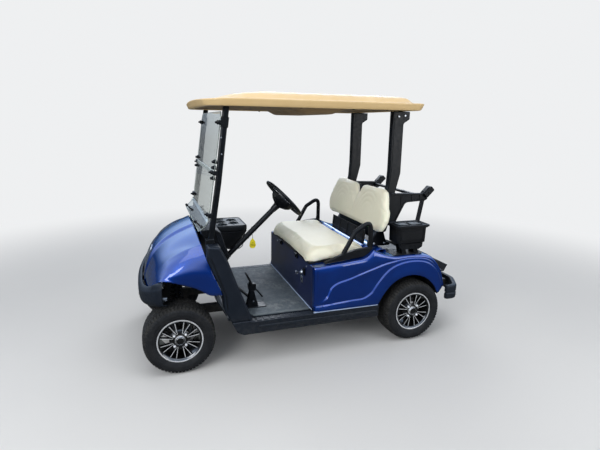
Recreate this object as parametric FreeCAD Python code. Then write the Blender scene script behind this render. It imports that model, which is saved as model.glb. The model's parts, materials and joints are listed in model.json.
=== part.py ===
import FreeCAD, Part
import math
import os

# Two-seat golf cart, millimetres. +X forward, +Y to the driver's side, +Z up.
# The origin is on the ground below the middle of the cart.

os.makedirs("parts", exist_ok=True)
V = FreeCAD.Vector

# Overall
LENGTH = 2400.0
ROOF_TOP = 1806.0
WHEELBASE = 1690.0
FRONT_AXLE_X = 955.0
REAR_AXLE_X = FRONT_AXLE_X - WHEELBASE
NOSE_X = LENGTH / 2
TAIL_X = -LENGTH / 2

# Wheels
TYRE_R = 230.0
TYRE_W = 205.0
RIM_W = 188.0
BEAD_R = 127.0
LIP_R = 144.5
FRONT_TRACK = 920.0
REAR_TRACK = 985.0
STUD_CIRCLE = 101.6
STUDS = 4
SPOKES = 8
HUB_R = 64.0
SPINDLE_R = 15.0
FACE_W = 62.0
FACE_THICK = 14.0
HUB_BACK = 12.0

# Clearances: running fits, faces that nearly touch, faces that turn past each other
RUNNING = 0.05
SEAT_GAP = 0.3
FACE_GAP = 1.0

# Frame
RAIL_Y = 190.0
RAIL_W = 40.0
RAIL_H = 60.0
RAIL_Z = 250.0
REAR_RAIL_Z = 330.0
RAIL_WALL = 3.0
FRAME_FRONT = NOSE_X - 100
FRAME_REAR = TAIL_X + 60
TOWER_Y0, TOWER_Y1 = 172.0, 180.0
TOWER_TOP = 612.0
KICK_X = -500.0
POST_X = -515.0
MAT = 6.0
PAN = 6.0
FLOOR_FRONT = 640.0
FLOOR_Y = 516.0
FOOT_Y = 446.0
PEDAL_BASE = (350, 480, 296, 384)
HITCH_BOLT_R = 5.25
HITCH_Y = 60.0

# Steering and front suspension
KINGPIN_Y = FRONT_TRACK / 2 - 90
KINGPIN_R = 9.0
KNUCKLE_LOW = 152.0
KNUCKLE_TOP = 308.0
PIN_REACH = 22.0
ARM_LENGTH = 80.0
RACK_Z = 203.0
RACK_R = 12.0
OPEN_PIVOT = 5.0
COLUMN_Y = 240.0
WHEEL_X = 178.0
WHEEL_Z = 1068.0
COLUMN_TILT = math.radians(43.5)
STEERING_R = 158.0
STEERING_TUBE = 13.0
COLUMN_R = 22.0
SHAFT_R = 9.0

# Body
BODY_Y = 568.0
BODY_WALL = 4.0
SILL_TOP = 308.0
SILL_LOW = 222.0
ROCKER_Y = 578.0
COWL_LOW = 470.0
BUMPER_WALL = 5.0
BOX_FRONT = 60.0
BOX_TOP = 634.0
BOX_SLOPE = 0.085
BODY_TOP_REAR = 690.0
DECK_Z = 666.0
PLATE_T = 3.0
ARCH_X = -698.0
ARCH_Z = 262.0
ARCH_R = 256.0

# Seat
SEAT_Y = 492.0
BOARD = 12.0
SEAT_REAR = -384.0
SEAT_FRONT = 92.0
SEAT_HINGE_X = 70.0
SEAT_HINGE_Y = 200.0
SEAT_PIN_R = 4.0
SEAT_TOP = 742.0
BACK_LOW = V(-467, 0, 814)
BACK_TILT = math.radians(12.0)
BACK_THICK = 52.0
CARRIER_T = 5.0

# Roof and struts
ROOF_FRONT = 785.0
ROOF_REAR = -725.0
ROOF_Y = 588.0
RIM_TOP = ROOF_TOP - 78
RIM_LOW = RIM_TOP - 42
STRUT_Y = 475.0
STRUT_W = 40.0
STRUT_D = 36.0
REAR_STRUT_Y = 331.0
REAR_STRUT_W = 46.0
LINER_T = 4.0

# Windscreen
SCREEN_T = 5.0
SCREEN_Y = 470.0
SCREEN_LEAN = 0.1441
SCREEN_BEND = (740.0, 975.0)
SCREEN_FOOT = (802.0, 913.0)
SCREEN_TOP_Z = RIM_LOW - 31
SCREEN_HINGE_Z = SCREEN_BEND[1] + 309
SCREEN_SPLIT = 3.0

# Sand box
SAND_X0, SAND_X1 = -828.0, -584.0
SAND_Y0, SAND_Y1 = 410.0, 548.0
SAND_LOW, SAND_TOP = 750.0, 872.0
SAND_WALL = 3.0
LID_PIN_R = 3.0


def box(x0, x1, y0, y1, z0, z1):
    return Part.makeBox(x1 - x0, y1 - y0, z1 - z0, V(x0, y0, z0))


def mirrored(shape):
    return shape.mirror(V(0, 0, 0), V(0, 1, 0))


def pair(shape):
    return Part.makeCompound([shape, mirrored(shape)])


def both(shape):
    return [shape, mirrored(shape)]


def joined(shapes):
    whole = shapes[0].fuse(shapes[1:])
    return whole.removeSplitter()


def cylinder(radius, start, end):
    return Part.makeCylinder(radius, (end - start).Length, start, end - start)


def outline(corners, place):
    """Closed wire of straight sides; a corner (a, b, r) is rounded by a tangent arc of radius r."""
    points = [(c[0], c[1], c[2] if len(c) > 2 else 0.0) for c in corners]
    starts, arcs, ends = [], [], []
    for i, (a, b, r) in enumerate(points):
        before, after = points[i - 1], points[(i + 1) % len(points)]
        back = V(before[0] - a, before[1] - b, 0)
        ahead = V(after[0] - a, after[1] - b, 0)
        corner = V(a, b, 0)
        if r <= 0:
            starts.append(corner)
            ends.append(corner)
            arcs.append(None)
            continue
        back.normalize()
        ahead.normalize()
        half = back.getAngle(ahead) / 2
        cut = r / math.tan(half)
        bisector = back + ahead
        bisector.normalize()
        middle = corner + bisector * (r / math.sin(half) - r)
        starts.append(corner + back * cut)
        ends.append(corner + ahead * cut)
        arcs.append(middle)
    edges = []
    for i in range(len(points)):
        if arcs[i] is not None:
            trio = [place(p.x, p.y) for p in (starts[i], arcs[i], ends[i])]
            edges.append(Part.Arc(*trio).toShape())
        leave, arrive = ends[i], starts[(i + 1) % len(points)]
        if (arrive - leave).Length > 0.001:
            edges.append(Part.LineSegment(place(leave.x, leave.y), place(arrive.x, arrive.y)).toShape())
    return Part.Wire(edges)


def side_wire(corners, y):
    return outline(corners, lambda a, b: V(a, y, b))


def plan_wire(corners, z):
    return outline(corners, lambda a, b: V(a, b, z))


def side_prism(corners, y0, y1):
    return Part.Face(side_wire(corners, y0)).extrude(V(0, y1 - y0, 0))


def plan_prism(corners, z0, z1):
    return Part.Face(plan_wire(corners, z0)).extrude(V(0, 0, z1 - z0))


def front_prism(corners, x0, x1):
    wire = outline(corners, lambda a, b: V(x0, a, b))
    return Part.Face(wire).extrude(V(x1 - x0, 0, 0))


def rounded_plan(x0, x1, half, radius):
    return [(x0, -half, radius), (x1, -half, radius), (x1, half, radius), (x0, half, radius)]


def tube(points, radius, bend):
    """Round bar through the points, with tangent arcs of radius bend."""
    edges, leave = [], points[0]
    for before, corner, after in zip(points, points[1:], points[2:]):
        back, ahead = before - corner, after - corner
        back.normalize()
        ahead.normalize()
        half = back.getAngle(ahead) / 2
        cut = bend / math.tan(half)
        bisector = back + ahead
        bisector.normalize()
        middle = corner + bisector * (bend / math.sin(half) - bend)
        edges.append(Part.LineSegment(leave, corner + back * cut).toShape())
        edges.append(Part.Arc(corner + back * cut, middle, corner + ahead * cut).toShape())
        leave = corner + ahead * cut
    edges.append(Part.LineSegment(leave, points[-1]).toShape())
    circle = Part.Circle(points[0], points[1] - points[0], radius).toShape()
    return Part.Wire(edges).makePipeShell([Part.Wire([circle])], True, False)


def revolved(profile, centre, out):
    """Profile points (radius, offset) turned about the Y axis through centre; out is +1 or -1."""
    wire = outline(profile, lambda r, w: V(centre.x + r, centre.y + out * w, centre.z))
    return Part.Face(wire).revolve(centre, V(0, 1, 0), 360)


def export(name, shape):
    shape.exportStep("parts/" + name + ".step")


# Wheels: name, axle X, track, side
WHEELS = [
    ("front_left", FRONT_AXLE_X, FRONT_TRACK, 1),
    ("front_right", FRONT_AXLE_X, FRONT_TRACK, -1),
    ("rear_left", REAR_AXLE_X, REAR_TRACK, 1),
    ("rear_right", REAR_AXLE_X, REAR_TRACK, -1),
]


def tyre(centre, out):
    half, bead = TYRE_W / 2, RIM_W / 2 - 5 - SEAT_GAP
    tread, groove = half - 22, 5.0
    top = TYRE_R
    profile = [
        (BEAD_R + SEAT_GAP, -bead), (LIP_R + 2, -bead), (LIP_R + 26, -half, 16), (top - 14, -half + 6, 14),
        (top, -tread), (top, -34), (top - groove, -32), (top - groove, -25), (top, -23),
        (top, 23), (top - groove, 25), (top - groove, 32), (top, 34),
        (top, tread), (top - 14, half - 6, 14), (LIP_R + 26, half, 16), (LIP_R + 2, bead),
        (BEAD_R + SEAT_GAP, bead),
    ]
    return revolved(profile, centre, out)


def rim(centre, out):
    half = RIM_W / 2
    inner = BEAD_R - 4
    barrel = revolved([
        (inner, -half), (LIP_R, -half), (LIP_R, -half + 5), (BEAD_R, -half + 5),
        (BEAD_R, half - 5), (LIP_R, half - 5), (LIP_R, half), (inner, half),
    ], centre, out)
    plate = revolved([(HUB_R - 4, FACE_W), (inner + 1, FACE_W + 10), (inner + 1, FACE_W + 10 + FACE_THICK),
                      (HUB_R - 4, FACE_W + FACE_THICK)], centre, out)
    windows = []
    for i in range(SPOKES):
        turn = 360.0 / SPOKES * i
        wide = outline([(20, HUB_R + 5, 4), (30, inner - 3, 6), (-30, inner - 3, 6), (-20, HUB_R + 5, 4)],
                       lambda a, b: V(centre.x + a, centre.y, centre.z + b))
        slot = outline([(2.5, HUB_R + 12), (11, inner - 5), (-11, inner - 5), (-2.5, HUB_R + 12)],
                       lambda a, b: V(centre.x + a, centre.y, centre.z + b))
        for wire, angle in ((wide, turn), (slot, turn + 180.0 / SPOKES)):
            cutter = Part.Face(wire).extrude(V(0, out * 120, 0))
            cutter.rotate(centre, V(0, 1, 0), angle)
            windows.append(cutter)
    plate = plate.cut(windows)
    hub = revolved([(SPINDLE_R, HUB_BACK), (44, HUB_BACK), (44, FACE_W - 8), (HUB_R, FACE_W),
                    (HUB_R, FACE_W + FACE_THICK),
                    (34, FACE_W + FACE_THICK), (30, FACE_W + 30), (0, FACE_W + 33), (0, FACE_W - 4),
                    (SPINDLE_R, FACE_W - 4)], centre, out)
    nuts = []
    for i in range(STUDS):
        angle = math.radians(45 + 90 * i)
        spot = centre + V(math.cos(angle), 0, math.sin(angle)) * (STUD_CIRCLE / 2)
        nuts.append(Part.makeCylinder(9.5, 22, spot + V(0, out * (FACE_W + FACE_THICK - 2), 0), V(0, out, 0)))
    return joined([barrel, plate, hub] + nuts)


for name, axle_x, track, out in WHEELS:
    centre = V(axle_x, out * track / 2, TYRE_R)
    export("tyre_" + name, tyre(centre, out))
    export("rim_" + name, rim(centre, out))


# Steering knuckles: an upright block on the kingpin, the wheel spindle and the steering arm

def spindle(track, out):
    start = V(0, out * (track / 2 + HUB_BACK - 26), TYRE_R)
    end = V(0, out * (track / 2 + FACE_W - 5), TYRE_R)
    return cylinder(SPINDLE_R - RUNNING, start, end)


def knuckle(out):
    x, y = FRONT_AXLE_X, out * KINGPIN_Y
    block = box(x - 22, x + 22, min(y - 16, y + 16), max(y - 16, y + 16), KNUCKLE_LOW, KNUCKLE_TOP)
    pin = Part.makeCylinder(KINGPIN_R - RUNNING, KNUCKLE_TOP - KNUCKLE_LOW + 2 * PIN_REACH,
                            V(x, y, KNUCKLE_LOW - PIN_REACH))
    hub_face = out * (FRONT_TRACK / 2 + HUB_BACK - FACE_GAP)
    carrier = cylinder(34, V(x, y, TYRE_R), V(x, hub_face, TYRE_R))
    stub = spindle(FRONT_TRACK, out).translated(V(x, 0, 0))
    boss_top = RACK_Z - RACK_R - 1 - OPEN_PIVOT
    arm = box(x - ARM_LENGTH, x, y - 11, y + 11, boss_top - 16, boss_top)
    boss = Part.makeCylinder(13, 16, V(x - ARM_LENGTH, y, boss_top - 16))
    return joined([block, pin, carrier, stub, arm, boss])


export("knuckle_left", knuckle(1))
export("knuckle_right", knuckle(-1))

# Control arms: plates from the frame pivots to the kingpin eyes
ARM_PIVOT_Y = RAIL_Y + RAIL_W / 2 + 10
ARM_REACH = KINGPIN_Y - ARM_PIVOT_Y
ARM_PLATE = PIN_REACH - 2


def control_arm(z, spread):
    x = FRONT_AXLE_X
    plate = plan_prism([(x - spread, ARM_PIVOT_Y), (x + spread, ARM_PIVOT_Y), (x + 20, KINGPIN_Y - 4),
                        (x - 20, KINGPIN_Y - 4)], z, z + ARM_PLATE)
    near, corner = ARM_PIVOT_Y + 0.1 * ARM_REACH, 0.04 * ARM_REACH
    window = plan_prism([(x - spread * 0.7, near, corner), (x + spread * 0.7, near, corner),
                         (x, ARM_PIVOT_Y + 0.7 * ARM_REACH, corner)], z - 1, z + ARM_PLATE + 1)
    eye = Part.makeCylinder(22, ARM_PLATE, V(x, KINGPIN_Y, z))
    bore = Part.makeCylinder(KINGPIN_R, ARM_PLATE + 2, V(x, KINGPIN_Y, z - 1))
    pivot = cylinder(13, V(x - spread, ARM_PIVOT_Y, z + ARM_PLATE / 2),
                     V(x + spread, ARM_PIVOT_Y, z + ARM_PLATE / 2))
    return joined([plate, eye, pivot]).cut([window, bore])


LOWER_ARM_Z = KNUCKLE_LOW - PIN_REACH + 2 - FACE_GAP
UPPER_ARM_Z = KNUCKLE_TOP + FACE_GAP
lower_arm = control_arm(LOWER_ARM_Z, 100)
upper_arm = control_arm(UPPER_ARM_Z, 62)
SHOCK_FOOT = V(FRONT_AXLE_X, ARM_PIVOT_Y + 0.51 * ARM_REACH, LOWER_ARM_Z + ARM_PLATE)
SHOCK_TOP = V(FRONT_AXLE_X, ARM_PIVOT_Y + 0.28 * ARM_REACH, TOWER_TOP - 14)
SPRING_R = 0.193 * ARM_REACH
gap_y0, gap_y1 = ARM_PIVOT_Y + 0.09 * ARM_REACH, ARM_PIVOT_Y + 0.73 * ARM_REACH
shock_gap = plan_prism([(FRONT_AXLE_X - 44, gap_y0), (FRONT_AXLE_X + 44, gap_y0),
                        (FRONT_AXLE_X + 30, gap_y1, 0.08 * ARM_REACH),
                        (FRONT_AXLE_X - 30, gap_y1, 0.08 * ARM_REACH)],
                       UPPER_ARM_Z - 1, UPPER_ARM_Z + ARM_PLATE + 1)
upper_arm = upper_arm.cut(shock_gap)
export("front_lower_arms", pair(lower_arm))
export("front_upper_arms", pair(upper_arm))


def coil_over(foot, top, radius, wire, turns):
    """Damper body, rod, two spring plates and a close-wound spring between them."""
    axis = top - foot
    length = axis.Length
    axis.normalize()
    body = cylinder(0.65 * radius, foot, foot + axis * (length * 0.55))
    rod = cylinder(0.28 * radius, foot, top)
    low, high = 36, length - 20
    plates = [cylinder(radius + wire, foot + axis * a, foot + axis * (a + 7)) for a in (low - 7, high)]
    sleeve = cylinder(radius - wire + 1, foot + axis * low, foot + axis * high)
    pitch = (high - low) / turns
    rings = [cylinder(radius + wire, foot + axis * (low + pitch * (i + 0.3)),
                      foot + axis * (low + pitch * (i + 0.7)))
             for i in range(turns)]
    return joined([body, rod, sleeve] + plates + rings)


export("front_shocks", pair(coil_over(SHOCK_FOOT, SHOCK_TOP, SPRING_R, 0.14 * SPRING_R, 9)))

# Steering rack under the rails; its rod ends stand clear above the knuckle bosses
RACK_X = FRONT_AXLE_X - ARM_LENGTH
HOUSING_Y = RAIL_Y + 15
rack = cylinder(RACK_R - RUNNING, V(RACK_X, -KINGPIN_Y, RACK_Z), V(RACK_X, KINGPIN_Y, RACK_Z))
rod_ends = [Part.makeCylinder(13, 2 * RACK_R + 2, V(RACK_X, s * KINGPIN_Y, RACK_Z - RACK_R - 1))
            for s in (1, -1)]
export("rack_bar", joined([rack] + rod_ends))
housing = cylinder(19, V(RACK_X, -HOUSING_Y, RACK_Z), V(RACK_X, HOUSING_Y, RACK_Z))
rack_feet = [box(RACK_X - 18, RACK_X + 18, s * RAIL_Y - 14, s * RAIL_Y + 14, RACK_Z, RAIL_Z) for s in (1, -1)]
rack_bore = cylinder(RACK_R, V(RACK_X, -HOUSING_Y - 1, RACK_Z), V(RACK_X, HOUSING_Y + 1, RACK_Z))
PINION_TOP = V(RACK_X - 30, 130, RACK_Z + 60)
pinion = cylinder(16, V(RACK_X, 104, RACK_Z + 14), PINION_TOP)
export("rack_housing", joined([housing, pinion] + rack_feet).cut(rack_bore))

# Frame: two box rails that rise over the rear axle, cross members, towers and posts
rise = REAR_RAIL_Z - RAIL_Z


def rail_side(inset):
    low, top = RAIL_Z + inset, RAIL_Z + RAIL_H - inset
    return [(FRAME_FRONT, low), (KICK_X, low), (KICK_X - rise, low + rise), (FRAME_REAR, low + rise),
            (FRAME_REAR, top + rise), (KICK_X - rise + 4, top + rise), (KICK_X + 4, top), (FRAME_FRONT, top)]


rail = side_prism(rail_side(0), RAIL_Y - RAIL_W / 2, RAIL_Y + RAIL_W / 2)
rail = rail.cut(side_prism(rail_side(RAIL_WALL), RAIL_Y - RAIL_W / 2 + RAIL_WALL,
                           RAIL_Y + RAIL_W / 2 - RAIL_WALL))
rail_top = RAIL_Z + RAIL_H
CROSS_MEMBERS = [  # x, half span, low z, top z
    (FRAME_FRONT - 30, RAIL_Y + RAIL_W / 2 + 30, RAIL_Z, rail_top),
    (578, 500, RAIL_Z + 10, rail_top),
    (300, 500, RAIL_Z + 20, rail_top),
    (30, 500, RAIL_Z + 20, rail_top),
    (-350, 500, RAIL_Z + 20, rail_top),
    (FRAME_REAR + 180, RAIL_Y, REAR_RAIL_Z, REAR_RAIL_Z + RAIL_H),
    (FRAME_REAR + 30, 420, REAR_RAIL_Z, REAR_RAIL_Z + RAIL_H),
]
members = [box(x - 20, x + 20, -half, half, low, top) for x, half, low, top in CROSS_MEMBERS]
BRACKETS = [  # x, low z, top z of the plates that carry the control arm pivots
    (FRONT_AXLE_X - 112, LOWER_ARM_Z - 6, RAIL_Z + 20),
    (FRONT_AXLE_X + 100, LOWER_ARM_Z - 6, RAIL_Z + 20),
    (FRONT_AXLE_X - 74, RAIL_Z + 30, UPPER_ARM_Z + ARM_PLATE + 6),
    (FRONT_AXLE_X + 62, RAIL_Z + 30, UPPER_ARM_Z + ARM_PLATE + 6),
]
subframe = [box(x, x + 12, TOWER_Y0 - 2, ARM_PIVOT_Y + 14, low, top) for x, low, top in BRACKETS]
subframe.append(side_prism([(FRONT_AXLE_X - 60, rail_top), (FRONT_AXLE_X + 60, rail_top),
                            (FRONT_AXLE_X + 40, TOWER_TOP + 6), (FRONT_AXLE_X - 40, TOWER_TOP + 6)],
                           TOWER_Y0, TOWER_Y1))
subframe.append(box(FRONT_AXLE_X - 40, FRONT_AXLE_X + 40, TOWER_Y0, ARM_PIVOT_Y + 0.53 * ARM_REACH,
                    TOWER_TOP - 12, TOWER_TOP))
subframe.append(box(POST_X - 25, POST_X + 25, REAR_STRUT_Y - 20, REAR_STRUT_Y + 20, REAR_RAIL_Z + 10,
                    BODY_TOP_REAR - BODY_WALL))
low_tie = box(FRONT_AXLE_X - 112, FRONT_AXLE_X + 112, -TOWER_Y0, TOWER_Y0, LOWER_ARM_Z - 6, LOWER_ARM_Z + 14)
post_beam = box(POST_X - 25, POST_X + 25, -REAR_STRUT_Y - 20, REAR_STRUT_Y + 20, REAR_RAIL_Z + 10,
                REAR_RAIL_Z + 50)
hitch_plate = box(FRAME_REAR, FRAME_REAR + 10, -100, 100, REAR_RAIL_Z - 90, REAR_RAIL_Z + RAIL_H)
hitch_holes = [cylinder(HITCH_BOLT_R, V(FRAME_REAR - 10, y, z), V(FRAME_REAR + 60, y, z))
               for y in (-HITCH_Y, HITCH_Y) for z in (REAR_RAIL_Z - 75, REAR_RAIL_Z - 50)]
both_sides = [shape for part in [rail] + subframe for shape in both(part)]
frame = joined(both_sides + members + [low_tie, post_beam, hitch_plate])
frame = frame.cut(hitch_holes)
export("frame", frame)

# Rear axle with the motor and gearbox block
DRUM_R = 104.0
drum_face = REAR_TRACK / 2 + HUB_BACK - FACE_GAP
axle = cylinder(34, V(REAR_AXLE_X, -drum_face, TYRE_R), V(REAR_AXLE_X, drum_face, TYRE_R))
drums = [cylinder(DRUM_R, V(REAR_AXLE_X, s * (drum_face - 62), TYRE_R),
                  V(REAR_AXLE_X, s * (drum_face - 6), TYRE_R))
         for s in (1, -1)]
stubs = [spindle(REAR_TRACK, s).translated(V(REAR_AXLE_X, 0, 0)) for s in (1, -1)]
gearbox = cylinder(88, V(REAR_AXLE_X, -60, TYRE_R), V(REAR_AXLE_X, 60, TYRE_R))
motor = cylinder(84, V(REAR_AXLE_X + 96, -30, TYRE_R + 12), V(REAR_AXLE_X + 96, 150, TYRE_R + 12))
export("rear_axle", joined([axle, gearbox, motor] + drums + stubs))

# Leaf springs on the rear axle: three leaves, the saddle over them and shackles up to the rails
SPRING_Y = 262.0
LEAF_T = 7.0
LEAF_Z = TYRE_R + 34
LEAVES = [140, 230, 330]
leaves = [box(REAR_AXLE_X - reach, REAR_AXLE_X + reach, SPRING_Y - 25, SPRING_Y + 25,
              LEAF_Z + LEAF_T * i, LEAF_Z + LEAF_T * (i + 1)) for i, reach in enumerate(LEAVES)]
saddle_z = LEAF_Z + LEAF_T * len(LEAVES)
saddle = box(REAR_AXLE_X - 45, REAR_AXLE_X + 45, SPRING_Y - 25, SPRING_Y + 25, saddle_z, saddle_z + 14)
shackles = [box(REAR_AXLE_X + s * LEAVES[-1] - 14, REAR_AXLE_X + s * LEAVES[-1] + 14, RAIL_Y + RAIL_W / 2,
                SPRING_Y + 25,
                saddle_z - LEAF_T, REAR_RAIL_Z + 20) for s in (1, -1)]
export("leaf_springs", pair(joined(leaves + [saddle] + shackles)))

# Battery block on the rails, under the seat
export("battery_block", box(-320, 10, -390, 390, rail_top, 590))

# Floor pan and mat
mat_top = rail_top + PAN + MAT
pan_flat = box(BOX_FRONT, FLOOR_FRONT, -FLOOR_Y, FLOOR_Y, rail_top, rail_top + PAN)
TOE_LOW = (FLOOR_FRONT + 70, rail_top + 130)
TOE_TOP = (700.0, 716.0)
toe_board = side_prism([(FLOOR_FRONT - 4, rail_top), (FLOOR_FRONT + 2, rail_top), TOE_LOW, TOE_TOP,
                        (TOE_TOP[0] - PAN, TOE_TOP[1]), (TOE_LOW[0] - PAN, TOE_LOW[1]),
                        (FLOOR_FRONT - 4, rail_top + PAN)], -FOOT_Y + 1, FOOT_Y - 1)
column_dir = V(math.cos(COLUMN_TILT), 0, -math.sin(COLUMN_TILT))
wheel_centre = V(WHEEL_X, COLUMN_Y, WHEEL_Z)
column_end = wheel_centre + column_dir * 690
column_hole = cylinder(16, column_end, PINION_TOP)
export("floor_pan", joined([pan_flat, toe_board]).cut(column_hole))
mat = plan_prism([(BOX_FRONT + 2, -FLOOR_Y + 6, 10), (480, -FLOOR_Y + 6, 20), (480, -FOOT_Y + 4),
                  (FLOOR_FRONT - 16, -FOOT_Y + 4, 20), (FLOOR_FRONT - 16, FOOT_Y - 4, 20), (480, FOOT_Y - 4),
                  (480, FLOOR_Y - 6, 20), (BOX_FRONT + 2, FLOOR_Y - 6, 10)],
                 rail_top + PAN, mat_top)
pedal_hole = box(PEDAL_BASE[0] - 2, PEDAL_BASE[1] + 2, PEDAL_BASE[2] - 2, PEDAL_BASE[3] + 2, rail_top,
                 rail_top + 60)
export("floor_mat", mat.cut(pedal_hole))

# Rocker panels with the strut foot panels: one moulding a side, open towards the frame
ROCKER_IN = FLOOR_Y + FACE_GAP
SILL = [(-446, SILL_LOW + 4, 6), (545, SILL_LOW, 30), (590, 240, 40), (626, SILL_TOP + 8),
        (486, SILL_TOP + 8),
        (470, SILL_TOP), (-446, SILL_TOP + 4, 4)]
FOOT_PANEL = [(486, SILL_TOP + 8), (626, SILL_TOP + 8), (668, 397, 60), (676, 515, 60), (778, 765),
              (766, 842, 10),
              (690, 834, 10), (642, 739, 40), (580, 562, 60), (508, 376, 60)]


def walled(corners, y0, y1, inner_y):
    """Moulding between y0 and the outer face y1, hollow from inner_y to one wall inside y1."""
    solid = side_prism(corners, y0, y1)
    cavity = side_wire(corners, inner_y).makeOffset2D(-BODY_WALL)
    return solid.cut(Part.Face(cavity).extrude(V(0, y1 - BODY_WALL - inner_y, 0)))


sill = walled(SILL, ROCKER_IN, ROCKER_Y, ROCKER_IN - 1)
foot_panel = walled(FOOT_PANEL, FOOT_Y, ROCKER_Y, FOOT_Y + BODY_WALL)
STRUT_LEAN = 0.1283
strut_top = RIM_LOW - SEAT_GAP
STRUT_LINE = [(660 - (strut_top - 1218) * STRUT_LEAN, strut_top), (660, 1218), (722, 828),
              (562, SILL_TOP + 8)]


def strut_side(line, depth, slack):
    front = [(x + depth + slack, z, 60 if 0 < i < len(line) - 1 else 0) for i, (x, z) in enumerate(line)]
    rear = [(x - slack, z, 60 if 0 < i < len(line) - 1 else 0) for i, (x, z) in enumerate(line)]
    return front + rear[::-1]


strut = side_prism(strut_side(STRUT_LINE, STRUT_D, 0), STRUT_Y - STRUT_W / 2, STRUT_Y + STRUT_W / 2)
strut_hole = side_prism(strut_side(STRUT_LINE, STRUT_D, 1), STRUT_Y - STRUT_W / 2 - 1,
                        STRUT_Y + STRUT_W / 2 + 1)
strut_hole = strut_hole.common(box(500, 900, 400, 600, 300, 900))
ridge = box(-430, 480, ROCKER_Y - 1, ROCKER_Y + 3, 258, 266)
panel = joined([sill, foot_panel, ridge]).cut(strut_hole)
export("rocker_panels", pair(panel))

# Front cowl: a shell through few sections, open below, with the wheel arches cut away
COWL_SECTIONS = [  # x, half width, side top z, shoulder y, shoulder z, crown z
    (1150, 250, 490, 130, 500, 518), (1121, 415, 545, 250, 600, 655), (1086, 495, 606, 320, 668, 726),
    (1034, 554, 640, 400, 722, 785), (950, 563, 660, 430, 786, 842), (882, 564, 680, 450, 816, 874),
    (812, 565, 690, 460, 838, 900), (676, 565, 700, 470, 862, 930),
]


def cowl_body(wall, low):
    sections = []
    for x, half, side_z, shoulder_y, shoulder_z, crown_z in COWL_SECTIONS:
        half, side_z, shoulder_y = half - wall, side_z - wall, shoulder_y - wall / 2
        shoulder_z, crown_z = shoulder_z - wall, crown_z - wall
        bend_y, bend_z = half - (half - shoulder_y) * 0.24, side_z + (shoulder_z - side_z) * 0.62
        at = [V(x, y, z) for y, z in (
            (-half, low), (-half, side_z), (-bend_y, bend_z), (-shoulder_y, shoulder_z), (0, crown_z),
            (shoulder_y, shoulder_z), (bend_y, bend_z), (half, side_z), (half, low))]
        at = [point - V(wall, 0, 0) for point in at]
        sections.append(Part.Wire([
            Part.LineSegment(at[0], at[1]).toShape(), Part.Arc(at[1], at[2], at[3]).toShape(),
            Part.Arc(at[3], at[4], at[5]).toShape(), Part.Arc(at[5], at[6], at[7]).toShape(),
            Part.LineSegment(at[7], at[8]).toShape(), Part.LineSegment(at[8], at[0]).toShape()]))
    return Part.makeLoft(sections, True, True)


ARCH_FRONT = [(1300, 400), (1300, 500), (1146, 500), (1120, 600, 20), (1042, 639, 60), (959, 620, 60),
              (850, 581, 60), (738, 504, 20), (660, 517), (660, 400)]
outer = cowl_body(0, COWL_LOW)
inner = cowl_body(BODY_WALL, COWL_LOW - 10)
cowl = outer.cut(inner)
rear_trim = side_prism([(600, 1100), (822, 1100), (806, 905), (798, 850), (779.5, 765), (677.5, 515),
                        (677.5, 400),
                        (600, 400)], -700, 700)
cowl = cowl.cut([rear_trim, side_prism(ARCH_FRONT, 330, 700), side_prism(ARCH_FRONT, -700, -330),
                 box(1000, 1300, -335, 335, 400, 500), box(600, 1000, -335, 335, 400, 620)])
export("front_cowl", cowl)

# Badge place: a plain shield plate on the nose
badge_face = outline([(-34, 640, 6), (34, 640, 6), (44, 712, 10), (0, 726, 30), (-44, 712, 10)],
                     lambda a, b: V(1060, a, b))
badge = Part.Face(badge_face).extrude(V(90, 0, 0))
badge = badge.common(cowl_body(-3.3, COWL_LOW).cut(cowl_body(-0.3, COWL_LOW - 10)))
export("nose_plate", badge)

# Front bumper: a wrap-round shell, low in the middle and high at the corners
BUMPER_DEPTH = 148.0
BUMPER_HALF = 566.0
BUMPER_EDGE = [(0, 180, 260), (50, 400, 250), (122, BUMPER_HALF, 60), (BUMPER_DEPTH, BUMPER_HALF, 0)]
BUMPER_PLAN = ([(NOSE_X - back, -y, r) for back, y, r in BUMPER_EDGE]
               + [(NOSE_X - back, y, r) for back, y, r in BUMPER_EDGE[::-1]])
BUMPER_LOW = [(300, 412, 150), (450, 441, 90), (600, 485, 0)]
BUMPER_HIGH = [(600, 640, 0), (450, 574, 80), (290, 528, 150)]
bumper_outer = plan_prism(BUMPER_PLAN, 400, 680)
bumper_inner = Part.Face(plan_wire(BUMPER_PLAN, 399).makeOffset2D(-BUMPER_WALL)).extrude(V(0, 0, 282))
bumper_back = box(NOSE_X - BUMPER_DEPTH - 10, NOSE_X - BUMPER_DEPTH + BUMPER_WALL + 1,
                  -BUMPER_HALF + BUMPER_WALL + 1,
                  BUMPER_HALF - BUMPER_WALL - 1, 399, 681)
bumper_face = front_prism([(0, 404)] + BUMPER_LOW + BUMPER_HIGH + [(0, 508)]
                          + [(-y, z, r) for y, z, r in BUMPER_HIGH[::-1] + BUMPER_LOW[::-1]],
                          NOSE_X - 200, NOSE_X + 50)
export("front_bumper", bumper_outer.cut([bumper_inner, bumper_back]).common(bumper_face))
ARM_Z0, ARM_Z1 = RAIL_Z + 175, RAIL_Z + 205
bumper_arm = box(FRAME_FRONT - 60, NOSE_X - BUMPER_WALL - 2 * SEAT_GAP, 135, 165, ARM_Z0, ARM_Z1)
bumper_post = box(FRAME_FRONT - 60, FRAME_FRONT - 20, 135, 165, rail_top, ARM_Z1)
export("bumper_brackets", pair(joined([bumper_arm, bumper_post])))

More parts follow.
